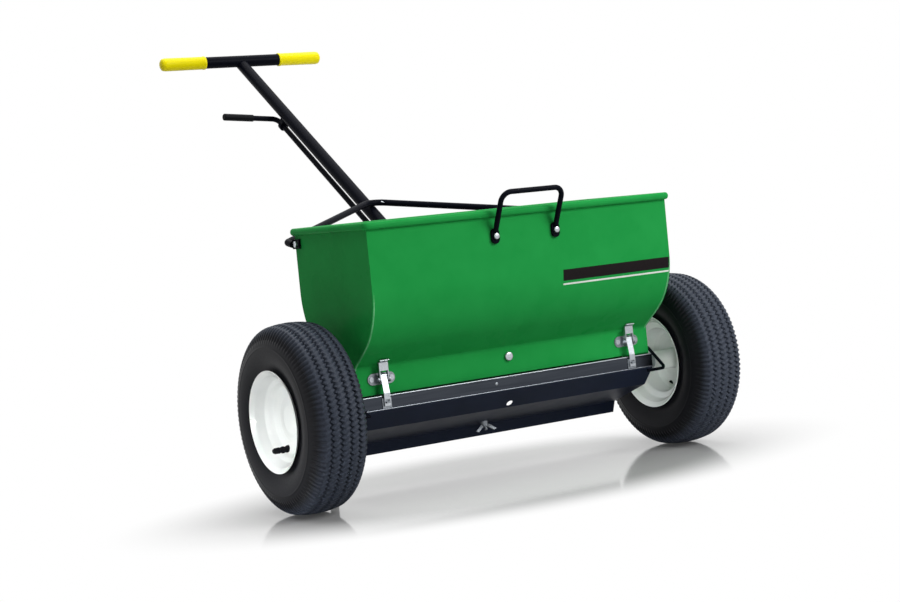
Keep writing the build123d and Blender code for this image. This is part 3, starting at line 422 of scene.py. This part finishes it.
# Shoulders: radial lugs, with a slot between each two.
lug_count = 108
lug_depth = 0.0024
lug_inset = 0.0165
lug_blend = 0.003
lug_drop = 0.024
lug_ease = 0.35
lug_side = 0.8
slot_open, slot_slope = 0.0, 0.7
# Sidewalls: the raised ring, then the toes on the rim and the hollow between them.
ring_radius = tyre_radius - 0.037
ring_height = 0.0009
ring_half = 0.0012
toe_x = half_tyre - 0.0085
toe_radius = 0.0797
well_x = 0.030
well_radius = 0.0770
# Grid: samples round the wheel, and rows from the toe to the middle of the crown.
samples_per_lug = 8
section_steps = 40
side_rows, ring_rows, tread_rows = 9, 7, 38
ring_spread = 0.003
tread_reach = 0.056
# Painted light: the lit tread colour starts below the crown and is full at the tread.
painted_light_drop = 0.012
painted_light_fade = 0.018

# Cured rubber: a lighter blue-grey on the tread, painted light where the lamps fall on it, which
# picks out the ribs; the sidewalls nearly black and dull, as painted shade.
tyre_rubber = finish(
    "cured tyre rubber",
    "#3a404c",
    "#2a2f39",
    roughness=0.5,
    grain=0.003,
    depth=0.00003,
    specular_ior_level=0.13,
)
painted_light_mask = add_node(tyre_rubber, "ShaderNodeAttribute", attribute_name="tread_painted_light")
lit_tread_tint = tyre_rubber.node_tree.nodes["Color Ramp"]
# The sidewalls' near black is painted shade, mixed towards the lit tread colour by the painted
# light.
shade = add_node(
    tyre_rubber,
    "ShaderNodeMix",
    {0: painted_light_mask.outputs["Fac"], 6: linear("#0b0c11"), 7: lit_tread_tint.outputs["Color"]},
    data_type="RGBA",
)
tyre_rubber.node_tree.links.new(
    shade.outputs[2], tyre_rubber.node_tree.nodes["Principled BSDF"].inputs["Base Color"]
)


def smooth_curve(points, steps):
    """Curve through every point: each span is the cubic whose end slopes are half the chord between
    its neighbours, so spans join without a kink."""
    points = np.asarray(points, float)
    padded = np.vstack([2 * points[0] - points[1], points, 2 * points[-1] - points[-2]])
    t = np.linspace(0, 1, steps, endpoint=False)[None, :, None]
    a, b, c, d = (padded[i : len(points) - 1 + i, None] for i in range(4))
    span = b + 0.5 * t * (c - a + t * (2 * a - 5 * b + 4 * c - d + t * (3 * (b - c) + d - a)))
    return np.vstack([span.reshape(-1, points.shape[1]), points[-1:]])


def triangle_wave(phase):
    """Straight up and down between minus one and one, once per whole number of the phase."""
    return 4 * np.abs(phase - np.floor(phase) - 0.5) - 1


def soft_step(value, edge, width):
    """Nought below the edge, one above it, and a smooth ramp of the given width between."""
    t = np.clip((value - edge) / width + 0.5, 0, 1)
    return t * t * (3 - 2 * t)


def tyre_grid(centre):
    """Tyre section turned about the axle: rows run across the section and columns round the wheel.
    The tread takes rubber off the radius: grooves that wander with a triangle wave round the wheel,
    and notches and shoulder slots that open, by a soft step, where such a wave is high."""
    half = [
        (toe_x, tyre_radius - 0.0745),
        (half_tyre - 0.0028, tyre_radius - 0.062),
        (half_tyre, tyre_radius - 0.046),
        (half_tyre - 0.0018, tyre_radius - 0.031),
        (half_tyre - 0.0068, tyre_radius - 0.0175),
        (half_tyre - 0.0122, tyre_radius - 0.0092),
        (half_tyre - 0.0185, tyre_radius - 0.0046),
        (half_tyre * 0.52, tyre_radius - 0.0025),
        (half_tyre * 0.26, tyre_radius - 0.0007),
        (0.0, tyre_radius),
    ]
    section = smooth_curve(half, section_steps)
    length = np.concatenate([[0], np.cumsum(np.hypot(*np.diff(section, axis=0).T))])
    ring_at = np.interp(ring_radius, section[:, 1], length)
    tread_from = length[-1] - tread_reach
    side = np.linspace(0, tread_from, side_rows, endpoint=False)
    ring = ring_at + np.linspace(-ring_spread, ring_spread, ring_rows)
    tread = np.linspace(tread_from, length[-1], tread_rows)
    rows = np.sort(np.concatenate([side, ring, tread]))
    across = np.interp(rows, length, section[:, 0])
    radius = np.interp(rows, length, section[:, 1])
    across = np.concatenate([across, -across[-2::-1]])
    radius = np.concatenate([radius, radius[-2::-1]])
    theta = np.linspace(0, 2 * np.pi, lug_count * samples_per_lug, endpoint=False)
    phase = theta * lug_count / (2 * np.pi)
    wander = zigzag * triangle_wave(phase)
    gap = np.abs(across[:, None, None] - groove_places - wander[None, :, None])
    groove = (1 - soft_step(gap, groove_half, groove_edge)).max(axis=2)
    near = np.abs(across[:, None] - groove_places).min(axis=1)[:, None]
    slant = phase[None, :] + across[:, None] / notch_pitch
    shallow = 1 - notch_loss * soft_step(near, notch_reach, notch_fade)
    notch = soft_step(triangle_wave(slant), notch_open, notch_slope) * shallow
    on_crown = 1 - soft_step(np.abs(across), half_tyre - crown_inset, crown_blend)[:, None]
    slots = soft_step(triangle_wave(phase), slot_open, slot_slope)[None, :]
    depth_in = tyre_radius - radius
    outside = soft_step(np.abs(across), half_tyre - lug_inset, lug_blend)
    shoulder = (outside * (1 - soft_step(depth_in, lug_drop, crown_blend)))[:, None]
    crown_cut = on_crown * np.maximum(groove_depth * groove, notch_depth * notch)
    slot_cut = shoulder * slots * lug_depth
    turned = radius[:, None] - (crown_cut + slot_cut) * (1 - lug_ease * shoulder)
    ridge = ring_height * np.exp(-(((radius - ring_radius) / ring_half) ** 2))
    width = across + np.sign(across) * ridge
    squeeze = width[:, None] - np.sign(across)[:, None] * slot_cut * lug_side
    inner_half = np.array([[-toe_x, toe_radius], [-well_x, well_radius]])
    inner = np.vstack([inner_half, inner_half[::-1] * (-1, 1)])
    turned = np.vstack([turned, np.repeat(inner[:, 1:], len(theta), axis=1)])
    squeeze = np.vstack([squeeze, np.repeat(inner[:, :1], len(theta), axis=1)])
    squeeze = np.clip(squeeze, -half_tyre, half_tyre)
    grid = np.stack([squeeze, turned * np.cos(theta), turned * np.sin(theta)], axis=-1)
    return grid + np.array(centre)


coat(tyre_rubber, "left_tyre", "right_tyre")
for name, body in (("left", "drive_wheel"), ("right", "free_wheel")):
    centre = middle(f"{name}_tyre")
    mesh = surface(f"{name} tyre", tyre_grid(centre), wrap=(True, True), caps=False, crease=50)
    points = np.empty(len(mesh.vertices) * 3)
    mesh.vertices.foreach_get("co", points)
    reach = np.hypot(*(points.reshape(-1, 3) - np.array(centre))[:, 1:].T)
    # Painted light: the lit tread colour fades in from below the crown.
    painted_light_layer = mesh.attributes.new("tread_painted_light", "FLOAT", "POINT")
    painted_light_layer.data.foreach_set("value", soft_step(reach, tyre_radius - painted_light_drop, painted_light_fade))
    fit(f"{name}_treaded_tyre", mesh, tyre_rubber, body, "tyre_rubber", f"{name}_tyre")

# Wheel rims: two steel pressings welded into one, with a rolled flange lip, a stepped dish and a
# closed, slightly domed middle over the hub. White enamel covers both faces.
flange_low, flange_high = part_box("left_rim")
rim_radius = (flange_high.z - flange_low.z) / 2
half_rim = (flange_high.x - flange_low.x) / 2
hub_radius = 0.019
lip = 0.0028
press_radius = 0.004
press_steps = 5
press_share = 0.45
rim_sides = 128

# White wheel enamel: clean cool white with a clear gloss, and the slow waves a pressing leaves.
white_enamel = finish(
    "white wheel enamel",
    "#f1f4f2",
    "#ecf0ee",
    roughness=0.24,
    grain=0.03,
    depth=0.0001,
    coat_weight=0.3,
    coat_roughness=0.1,
)


def lathe(profile, centre, axis, sides):
    """A profile of (along, radius) pairs turned about an axis through the centre."""
    axis = np.asarray(axis, float) / np.linalg.norm(axis)
    spare = np.array([0.0, 0.0, 1.0]) if abs(axis[2]) < 0.9 else np.array([1.0, 0.0, 0.0])
    right = np.cross(axis, spare)
    right /= np.linalg.norm(right)
    up = np.cross(right, axis)
    theta = np.linspace(0, 2 * np.pi, sides, endpoint=False)[None, :, None]
    profile = np.asarray(profile, float)
    ring = np.cos(theta) * right + np.sin(theta) * up
    return np.asarray(centre) + profile[:, :1, None] * axis + profile[:, 1:, None] * ring


# The pressing's outline, as places along the axle and radii: outer dish, flange lip, inner dish.
outer_face = [
    (0.0195, 0.0),
    (0.0195, 0.0240),
    (0.0182, 0.0320),
    (0.0174, 0.0400),
    (0.0180, 0.0470),
    (0.0192, 0.0530),
    (0.0205, 0.0590),
    (0.0280, 0.0650),
    (0.0320, 0.0715),
    (0.0470, 0.0795),
    (half_rim - 0.0012, rim_radius - lip),
]
lip_roll = [
    (half_rim, rim_radius - lip / 2),
    (half_rim - 0.0012, rim_radius),
    (half_rim - 0.0040, rim_radius - 0.0035),
    (half_rim - 0.0060, 0.0805),
    (half_rim - 0.0210, 0.0770),
]
inner_lip = [(-along, radius) for along, radius in lip_roll[::-1]]
inner_face = [
    (0.0012 - half_rim, rim_radius - lip),
    (-0.0470, 0.0795),
    (-0.0320, 0.0735),
    (-0.0280, 0.0620),
    (0.0060, 0.0600),
    (0.0120, 0.0540),
    (0.0120, 0.0400),
    (0.0100, 0.0300),
    (0.0100, hub_radius),
    (-0.0480, hub_radius),
    (-0.0480, 0.0082),
    (0.0146, 0.0082),
    (0.0146, 0.0),
]


def eased(points, radius):
    """A profile whose corners are rounded by one radius, less where the runs are short."""
    points = np.asarray(points, float)
    runs = np.linalg.norm(np.diff(points, axis=0), axis=1)
    room = np.minimum(runs[:-1], runs[1:]) * press_share
    run = np.diff(points, axis=0) / runs[:, None]
    turn = np.arccos(np.clip((run[:-1] * run[1:]).sum(axis=1), -1, 1))
    radii = np.minimum(radius, room / np.maximum(np.tan(turn / 2), 1e-6))
    return rounded(points, radii, press_steps)


coat(white_enamel, "left_rim", "right_rim")
for name, side, body in (("left", -1, "drive_wheel"), ("right", 1, "free_wheel")):
    centre = middle(f"{name}_rim")
    profile = eased(outer_face + lip_roll + inner_lip + inner_face, press_radius)
    turned = lathe(profile, centre, (side, 0, 0), rim_sides)
    mesh = surface(f"{name} rim", turned, crease=45, caps=False)
    fit(f"{name}_dished_rim", mesh, white_enamel, body, "white_enamel", f"{name}_rim")

# Valve stems: short moulded rubber snouts with two ridges and a screwed-on cap, pulled through a
# hole in the dish.

# Moulded rubber: plain matt black with a very fine skin.
black_rubber = finish(
    "moulded black rubber",
    "#111216",
    "#0d0e11",
    roughness=0.5,
    grain=0.002,
    depth=0.00003,
    specular_ior_level=0.05,
)
stem_sides = 24
stem = [
    (-0.001, 0.0),
    (-0.001, 0.0060),
    (0.006, 0.0074),
    (0.010, 0.0062),
    (0.012, 0.0052),
    (0.014, 0.0052),
    (0.016, 0.0061),
    (0.019, 0.0061),
    (0.021, 0.0050),
    (0.024, 0.0050),
    (0.0245, 0.0056),
    (0.033, 0.0052),
    (0.036, 0.0036),
    (0.036, 0.0),
]


def inner_end(node, side):
    """The middle of the end of a node's box that looks towards the spreader's centre."""
    low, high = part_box(node)
    return Vector((high.x if side < 0 else low.x, (low.y + high.y) / 2, (low.z + high.z) / 2))


coat(black_rubber, "left_valve", "right_valve")
for name, side, body in (("left", -1, "drive_wheel"), ("right", 1, "free_wheel")):
    turned = lathe(stem, inner_end(f"{name}_valve", side), (side, 0, 0), stem_sides)
    mesh = surface(f"{name} valve", turned, caps=False)
    fit(f"{name}_valve_stem", mesh, black_rubber, body, "black_rubber", f"{name}_valve")

# Bottom tray: a trough of rolled steel sheet that closes the hopper, with a row of ports in its
# floor. A metering slide shuts the ports from below and rides in clips riveted to the trough.

# Rolled steel sheet: smooth metal with fine lines drawn along its length, its colour darkened to
# paint the dark reflection on the tray's front wall.
steel_painted_dark = finish(
    "rolled steel sheet painted dark",
    "#40444b",
    "#363a41",
    roughness=0.24,
    grain=0.003,
    depth=0.000003,
    stretch=(0.03, 1, 1),
    metallic=1.0,
)
# The tray, slide and clips wear the steel darkened as a painted dark reflection.
coat(steel_painted_dark, "bottom_tray", "slide_plate", "slide_clips")

# Tray hems: the bottom tray's front wall is folded over along both long edges, and each fold is
# drawn as a thin painted highlight above and below the darker face.
hem_radius = 0.0010
hem_sides = 12
hem_sink = 0.0006
hem_inset = 0.001
upper_hem_z, lower_hem_z = axle.z + 0.0222, axle.z - 0.0008
tray_low, tray_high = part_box("bottom_tray")
turn = np.linspace(0, 2 * np.pi, hem_sides, endpoint=False)

# Painted highlight: a thin, pale line along the upper fold, under the green skirt.
painted_hem_highlight = finish(
    "rolled edge painted highlight",
    "#a3a7ad",
    "#94989e",
    roughness=0.3,
    grain=0.003,
    depth=0.000003,
    stretch=(0.03, 1, 1),
    metallic=1.0,
)
# Painted shade on the highlight: the same line, greyer, where the fold turns towards the floor.
painted_hem_shaded_highlight = finish(
    "rolled edge painted shaded highlight",
    "#7a7e85",
    "#6c7077",
    roughness=0.3,
    grain=0.003,
    depth=0.000003,
    stretch=(0.03, 1, 1),
    metallic=1.0,
)
# The upper hem wears the painted highlight, the lower one the same highlight in painted shade.
for name, height, edge in (("upper", upper_hem_z, painted_hem_highlight), ("lower", lower_hem_z, painted_hem_shaded_highlight)):
    roll = np.stack([np.cos(turn), np.sin(turn)], axis=1) * hem_radius
    roll += (tray_low.y + hem_sink, height - hem_radius)
    run = extruded(roll, tray_low.x + hem_inset, tray_high.x - hem_inset)
    fit(f"tray_hem_{name}", surface(f"{name} tray hem", run), edge, "chassis", "stainless_sheet")

# Draw latches: two stamped zinc-plated toggle latches hold the tray up against the skirt. Each has
# a riveted base, a lever on a pin, and a bail that hooks over a catch on the tray.

# Weathered zinc: a greyer, duller metal than the new plate.
dull_zinc = finish(
    "weathered zinc plate",
    "#8f9499",
    "#74797f",
    roughness=0.42,
    grain=0.002,
    depth=0.00001,
    metallic=1.0,
)
coat(dull_zinc, "latch_bases", "latch_catches")
coat(zinc_plate, "latch_rivets", "latch_pins")
coat(zinc_plate, "left_latch_lever", "right_latch_lever", "left_latch_bail", "right_latch_bail")

# Scatter board: a folded steel baffle under the tray, hung on bent rods and a strap. A bolt and a
# wing nut through a hole in its middle set how far it leans.

# Baked black enamel: smooth blue-black with a faint broad sheen.
board_enamel = finish(
    "baked black enamel",
    "#191f2f",
    "#141a28",
    roughness=0.42,
    grain=0.05,
    depth=0.00004,
    specular_ior_level=0.16,
    specular_tint=linear("#c4d6ff"),
)
# Satin black powder coat: a cool black, broken by a fine pebble that is drawn coarser than the
# real half millimetre, so that it shows.
black_enamel = finish(
    "satin black powder coat",
    "#0d0f18",
    "#0a0b12",
    roughness=0.36,
    grain=0.006,
    depth=0.00002,
    specular_ior_level=0.02,
)
coat(board_enamel, "scatter_board")
coat(black_enamel, "board_hangers", "board_strap")
coat(dull_zinc, "board_bolt", "wing_nut")

# Handle: a straight steel tube with a welded cross bar, held by a folded bracket on the back wall
# and a bent brace rod to the end panels. The carrying handle is a bent rod with flattened pads.
coat(black_enamel, "handle_tube", "cross_bar", "handle_bracket", "handle_brace", "carry_handle")
coat(zinc_plate, "handle_foot_bolts", "back_wall_bolts", "brace_bolts", "carry_handle_bolts")

# Control rod: a bent steel rod that turns in guides along the tube. Its crank moves a yoke on the
# metering slide, and its hand lever has a rubber sleeve.
coat(black_enamel, "control_rod", "rod_guides", "rod_collars", "rod_crank", "slide_yoke")
coat(zinc_plate, "yoke_bolt")
coat(black_rubber, "lever_grip")

# Handle grips: soft yellow vinyl sleeves, dipped and pushed on to the bar's ends, with a rounded
# closed end and a thin rolled edge at the open one.

# Dipped vinyl: strong, even lemon yellow with a soft shine.
yellow_vinyl = finish(
    "yellow dipped vinyl",
    "#f2e400",
    "#ebdc00",
    roughness=0.32,
    grain=0.03,
    depth=0.00003,
    specular_ior_level=0.14,
)
grip_bore = 0.0113
grip_sides = 48
coat(yellow_vinyl, "left_grip", "right_grip")
for node, side in (("left_grip", -1), ("right_grip", 1)):
    low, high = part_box(node)
    radius = min(high.y - low.y, high.z - low.z) / 2
    length = high.x - low.x
    sleeve = [
        (length - 0.004, 0.0),
        (length - 0.004, grip_bore),
        (0.0, grip_bore),
        (0.0, radius - 0.0008),
        (0.0015, radius),
        (0.0045, radius),
        (0.0060, radius - 0.0009),
        (length - 0.010, radius - 0.0006),
        (length - 0.004, radius - 0.0020),
        (length - 0.001, radius - 0.0060),
        (length, radius - 0.0100),
        (length, 0.0),
    ]
    turned = lathe(sleeve, inner_end(node, side), (side, 0, 0), grip_sides)
    mesh = surface(f"{node} sleeve", turned, caps=False, crease=50)
    fit(f"{node}_sleeve", mesh, yellow_vinyl, "chassis", "yellow_vinyl", node)

# Rate dial: a moulded nylon knob on a stud, over an aluminium plate. Eleven short black lines are
# printed on the plate in an arc round the knob, the first and last ones longer.
tick_count = 11
tick_width = 0.0011
tick_lift = 0.00015
tick_sweep = 135
long_tick, short_tick = 0.0056, 0.0036
inner_radius = 0.0332
ticks = np.radians(np.linspace(-tick_sweep, tick_sweep, tick_count))
tick_length = np.full(tick_count, short_tick)
tick_length[[0, -1]] = long_tick

# Moulded nylon: soft neutral black, a little lighter than the powder coat.
black_nylon = finish(
    "moulded black nylon", "#17181a", "#131416", roughness=0.42, grain=0.001, depth=0.00001
)
# Etched aluminium: pale, even metal with a silky face.
etched_plate = finish(
    "etched aluminium plate",
    "#c9ccce",
    "#bfc2c5",
    roughness=0.34,
    grain=0.001,
    depth=0.000004,
    metallic=1.0,
)
coat(black_nylon, "rate_dial")
coat(etched_plate, "dial_plate")
coat(zinc_plate, "dial_stud")


def tick_boxes(centre):
    """One thin box per tick: corners at plus and minus half the width along the arc, at the inner
    and outer radius, on the plate's face and a print's thickness above it."""
    out = np.stack([np.sin(ticks), np.zeros(tick_count), np.cos(ticks)], axis=1)
    aside = np.stack([np.cos(ticks), np.zeros(tick_count), -np.sin(ticks)], axis=1)
    near = inner_radius * out
    far = (inner_radius + tick_length)[:, None] * out
    half = aside * tick_width / 2
    flat = np.stack([near - half, near + half, far + half, far - half], axis=1)
    lifted = flat + np.array([0, tick_lift, 0])
    return np.concatenate([flat, lifted], axis=1) + np.asarray(centre)


flat_faces = [[0, 3, 2, 1], [4, 5, 6, 7]]
side_faces = [[0, 1, 5, 4], [1, 2, 6, 5], [2, 3, 7, 6], [3, 0, 4, 7]]
box_faces = np.array(flat_faces + side_faces)
dial_centre = middle("dial_plate")
dial_centre.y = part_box("dial_plate")[1].y
corners = tick_boxes(dial_centre)
tick_faces = box_faces + np.arange(tick_count)[:, None, None] * corners.shape[1]
scale_mesh = bpy.data.meshes.new("dial scale")
scale_mesh.from_pydata(corners.reshape(-1, 3), [], tick_faces.reshape(-1, 4).tolist())
fit("dial_scale", scale_mesh, black_film, "chassis", "black_plastic")

# Parking leg: a steel rod on a pin in a folded bracket on the back wall. It folds up behind the
# hopper for work, and its foot is a rubber pad pushed on to the rod's end.
coat(black_enamel, "leg_bracket", "parking_leg")
coat(zinc_plate, "leg_pin")
coat(black_rubber, "leg_foot")

# Bolt heads: the low zinc-plated domes of carriage and pan-head bolts, each on the flat head that
# clamps the sheet.
crown_height = 0.0016
crown_skirt = 0.0005
crown_steps = 6
crown_sides = 24
bolt_radius = 0.0055
skirt_bolt_radius = 0.0080
apex_bolt_radius = 0.0060
screw_radius = 0.0034
forward = (0, -1, 0)
carry_reach, carry_y, carry_z = 0.064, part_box("carry_handle_bolts")[0].y, axle.z + 0.276
skirt_place = (0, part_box("skirt_bolt")[0].y, axle.z + 0.056)
ear_low, ear_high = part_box("brace_bolts")
ear_y, ear_z = (ear_low.y + ear_high.y) / 2, (ear_low.z + ear_high.z) / 2
brace_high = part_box("handle_brace")[1]
apex_place = (0.019, brace_high.y - 0.0130, brace_high.z - 0.0040)
apex_facing = (0, -0.565, 0.825)
screw_place = (-0.038, tray_low.y, axle.z + 0.011)


def crown(name, place, direction, radius, plating=zinc_plate):
    """A low dome on a bolt's head: a quarter of an oval turned about the bolt, on a short skirt."""
    swing = np.linspace(0, np.pi / 2, crown_steps)
    dome = np.stack([crown_height * np.sin(swing), radius * np.cos(swing)], axis=1)
    dome = np.vstack([[(-crown_skirt, 0.0), (-crown_skirt, radius)], dome])
    mesh = surface(f"{name} crown", lathe(dome, place, direction, crown_sides), caps=False)
    fit(f"{name}_crown", mesh, plating, "chassis", "zinc_plate")


coat(zinc_plate, "skirt_bolt")
crown("carry_bolt_left", (-carry_reach, carry_y, carry_z), forward, bolt_radius)
crown("carry_bolt_right", (carry_reach, carry_y, carry_z), forward, bolt_radius)
crown("skirt_bolt", skirt_place, forward, skirt_bolt_radius)
crown("brace_bolt_left", (ear_low.x, ear_y, ear_z), (-1, 0, 0), bolt_radius)
crown("brace_bolt_right", (ear_high.x, ear_y, ear_z), (1, 0, 0), bolt_radius)
crown("brace_apex_bolt", apex_place, apex_facing, apex_bolt_radius)
crown("tray_screw", screw_place, forward, screw_radius, dull_zinc)

# Studio: a pale glossy floor, a large soft box over the front right, a wide one overhead, small
# ones on the left and an even white surround.
floor_half = 7.0
fade_squeeze = (1.6, 3, 1)
fade_start, fade_end = 0.7, 1.25
floor_glow = 0.03
surround_light = 0.15
floor_corners = [(-1, -1, 0), (1, -1, 0), (1, 1, 0), (-1, 1, 0)]
floor = bpy.data.objects.new("floor", bpy.data.meshes.new("floor"))
floor.data.from_pydata(np.array(floor_corners) * floor_half, [], [(0, 1, 2, 3)])
bpy.context.scene.collection.objects.link(floor)

# White seamless paper: white with a soft mirror near the wheels, fading to a plain bright backdrop.
paper = bpy.data.materials.new("white seamless paper")
paper.use_nodes = True
sheen = paper.node_tree.nodes["Principled BSDF"]
sheen.inputs["Base Color"].default_value = linear("#bcbcbc")
sheen.inputs["Roughness"].default_value = 0.09
sheen.inputs["Specular IOR Level"].default_value = 0.35
place = add_node(paper, "ShaderNodeTexCoord")
fade_centre = (0, -fade_squeeze[1] * axle.y, 0)
under = add_node(
    paper,
    "ShaderNodeMapping",
    {"Vector": place.outputs["Object"], "Location": fade_centre, "Scale": fade_squeeze},
)
away = add_node(paper, "ShaderNodeVectorMath", {0: under.outputs["Vector"]}, operation="LENGTH")
fade = add_node(
    paper,
    "ShaderNodeMapRange",
    {
        "Value": away.outputs["Value"],
        "From Min": fade_start,
        "From Max": fade_end,
        "To Min": floor_glow,
    },
    interpolation_type="SMOOTHSTEP",
)


def backdrop_rays(material):
    """One for the rays that show the backdrop, straight or by way of a gloss, and else nought."""
    ray = add_node(material, "ShaderNodeLightPath")
    mirrored = add_node(
        material,
        "ShaderNodeMath",
        {0: ray.outputs["Is Glossy Ray"], 1: ray.outputs["Is Transmission Ray"]},
        operation="MAXIMUM",
    )
    either = add_node(
        material,
        "ShaderNodeMath",
        {0: ray.outputs["Is Camera Ray"], 1: mirrored.outputs["Value"]},
        operation="MAXIMUM",
    )
    return either.outputs["Value"]


seen = add_node(
    paper,
    "ShaderNodeMath",
    {0: fade.outputs["Result"], 1: backdrop_rays(paper)},
    operation="MULTIPLY",
)
glow = add_node(paper, "ShaderNodeEmission", {"Color": (1, 1, 1, 1), "Strength": 1.0})
blend = add_node(
    paper,
    "ShaderNodeMixShader",
    {"Fac": seen.outputs["Value"], 1: sheen.outputs["BSDF"], 2: glow.outputs["Emission"]},
)
paper.node_tree.links.new(
    blend.outputs["Shader"], paper.node_tree.nodes["Material Output"].inputs["Surface"]
)
floor.data.materials.append(paper)
floor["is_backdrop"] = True


def soft_box(name, power, size, place, target, spread=180):
    """A square area lamp of the given width, aimed from its place at a target, with its beam kept
    within the spread in degrees."""
    lamp = bpy.data.lights.new(name, "AREA")
    lamp.energy = power
    lamp.size = size
    lamp.spread = radians(spread)
    lamp_object = bpy.data.objects.new(name, lamp)
    lamp_object.location = place
    lamp_object.rotation_mode = "QUATERNION"
    lamp_object.rotation_quaternion = (Vector(target) - Vector(place)).to_track_quat("-Z", "Y")
    bpy.context.scene.collection.objects.link(lamp_object)
    lamp_object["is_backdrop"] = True


soft_box("key", power=88.0, size=1.6, place=(1.5, -2.9, 2.0), target=(0, -0.3, 0.3))
soft_box("overhead", power=118.0, size=4.0, place=(0.2, 0.3, 3.2), target=(0, 0.0, 0.0))
soft_box("left_fill", power=4.0, size=1.2, place=(-2.6, -1.4, 0.62), target=(-0.2, -0.3, 0.3))
soft_box(
    "left_wheel_light",
    power=0.25,
    size=0.2,
    place=(-2.3, -1.0, 0.06),
    target=(-0.46, -0.375, 0.04),
    spread=12,
)
soft_box(
    "right_wheel_light",
    power=0.07,
    size=0.2,
    place=(-0.95, -2.4, 0.10),
    target=(0.37, -0.375, 0.12),
    spread=10,
)
world = bpy.data.worlds.new("studio")
bpy.context.scene.world = world
world.use_nodes = True
sky = world.node_tree.nodes["Background"]
sky.inputs["Color"].default_value = (1, 1, 1, 1)
level = add_node(
    world, "ShaderNodeMapRange", {"Value": backdrop_rays(world), "To Min": surround_light}
)
world.node_tree.links.new(level.outputs["Result"], sky.inputs["Strength"])

# Camera: a short telephoto a little above the hopper, from the front left. It is rolled a few
# degrees, so that the axle rises to the right.
yaw, pitch, roll = 31.73, 3.07, -5.56
camera_stand = Vector((-1.824, -2.816, 0.343))
camera = bpy.data.objects.new("camera", bpy.data.cameras.new("camera"))
camera.data.sensor_width = 36.0
camera.data.lens = 73.83
facing = Matrix.Rotation(radians(-yaw), 4, "Z") @ Matrix.Rotation(radians(90 - pitch), 4, "X")
facing = facing @ Matrix.Rotation(radians(roll), 4, "Z")
camera.matrix_world = Matrix.Translation(axle + camera_stand) @ facing
bpy.context.scene.collection.objects.link(camera)
bpy.context.scene.camera = camera
bpy.context.scene.view_settings.view_transform = "Standard"

low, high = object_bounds()
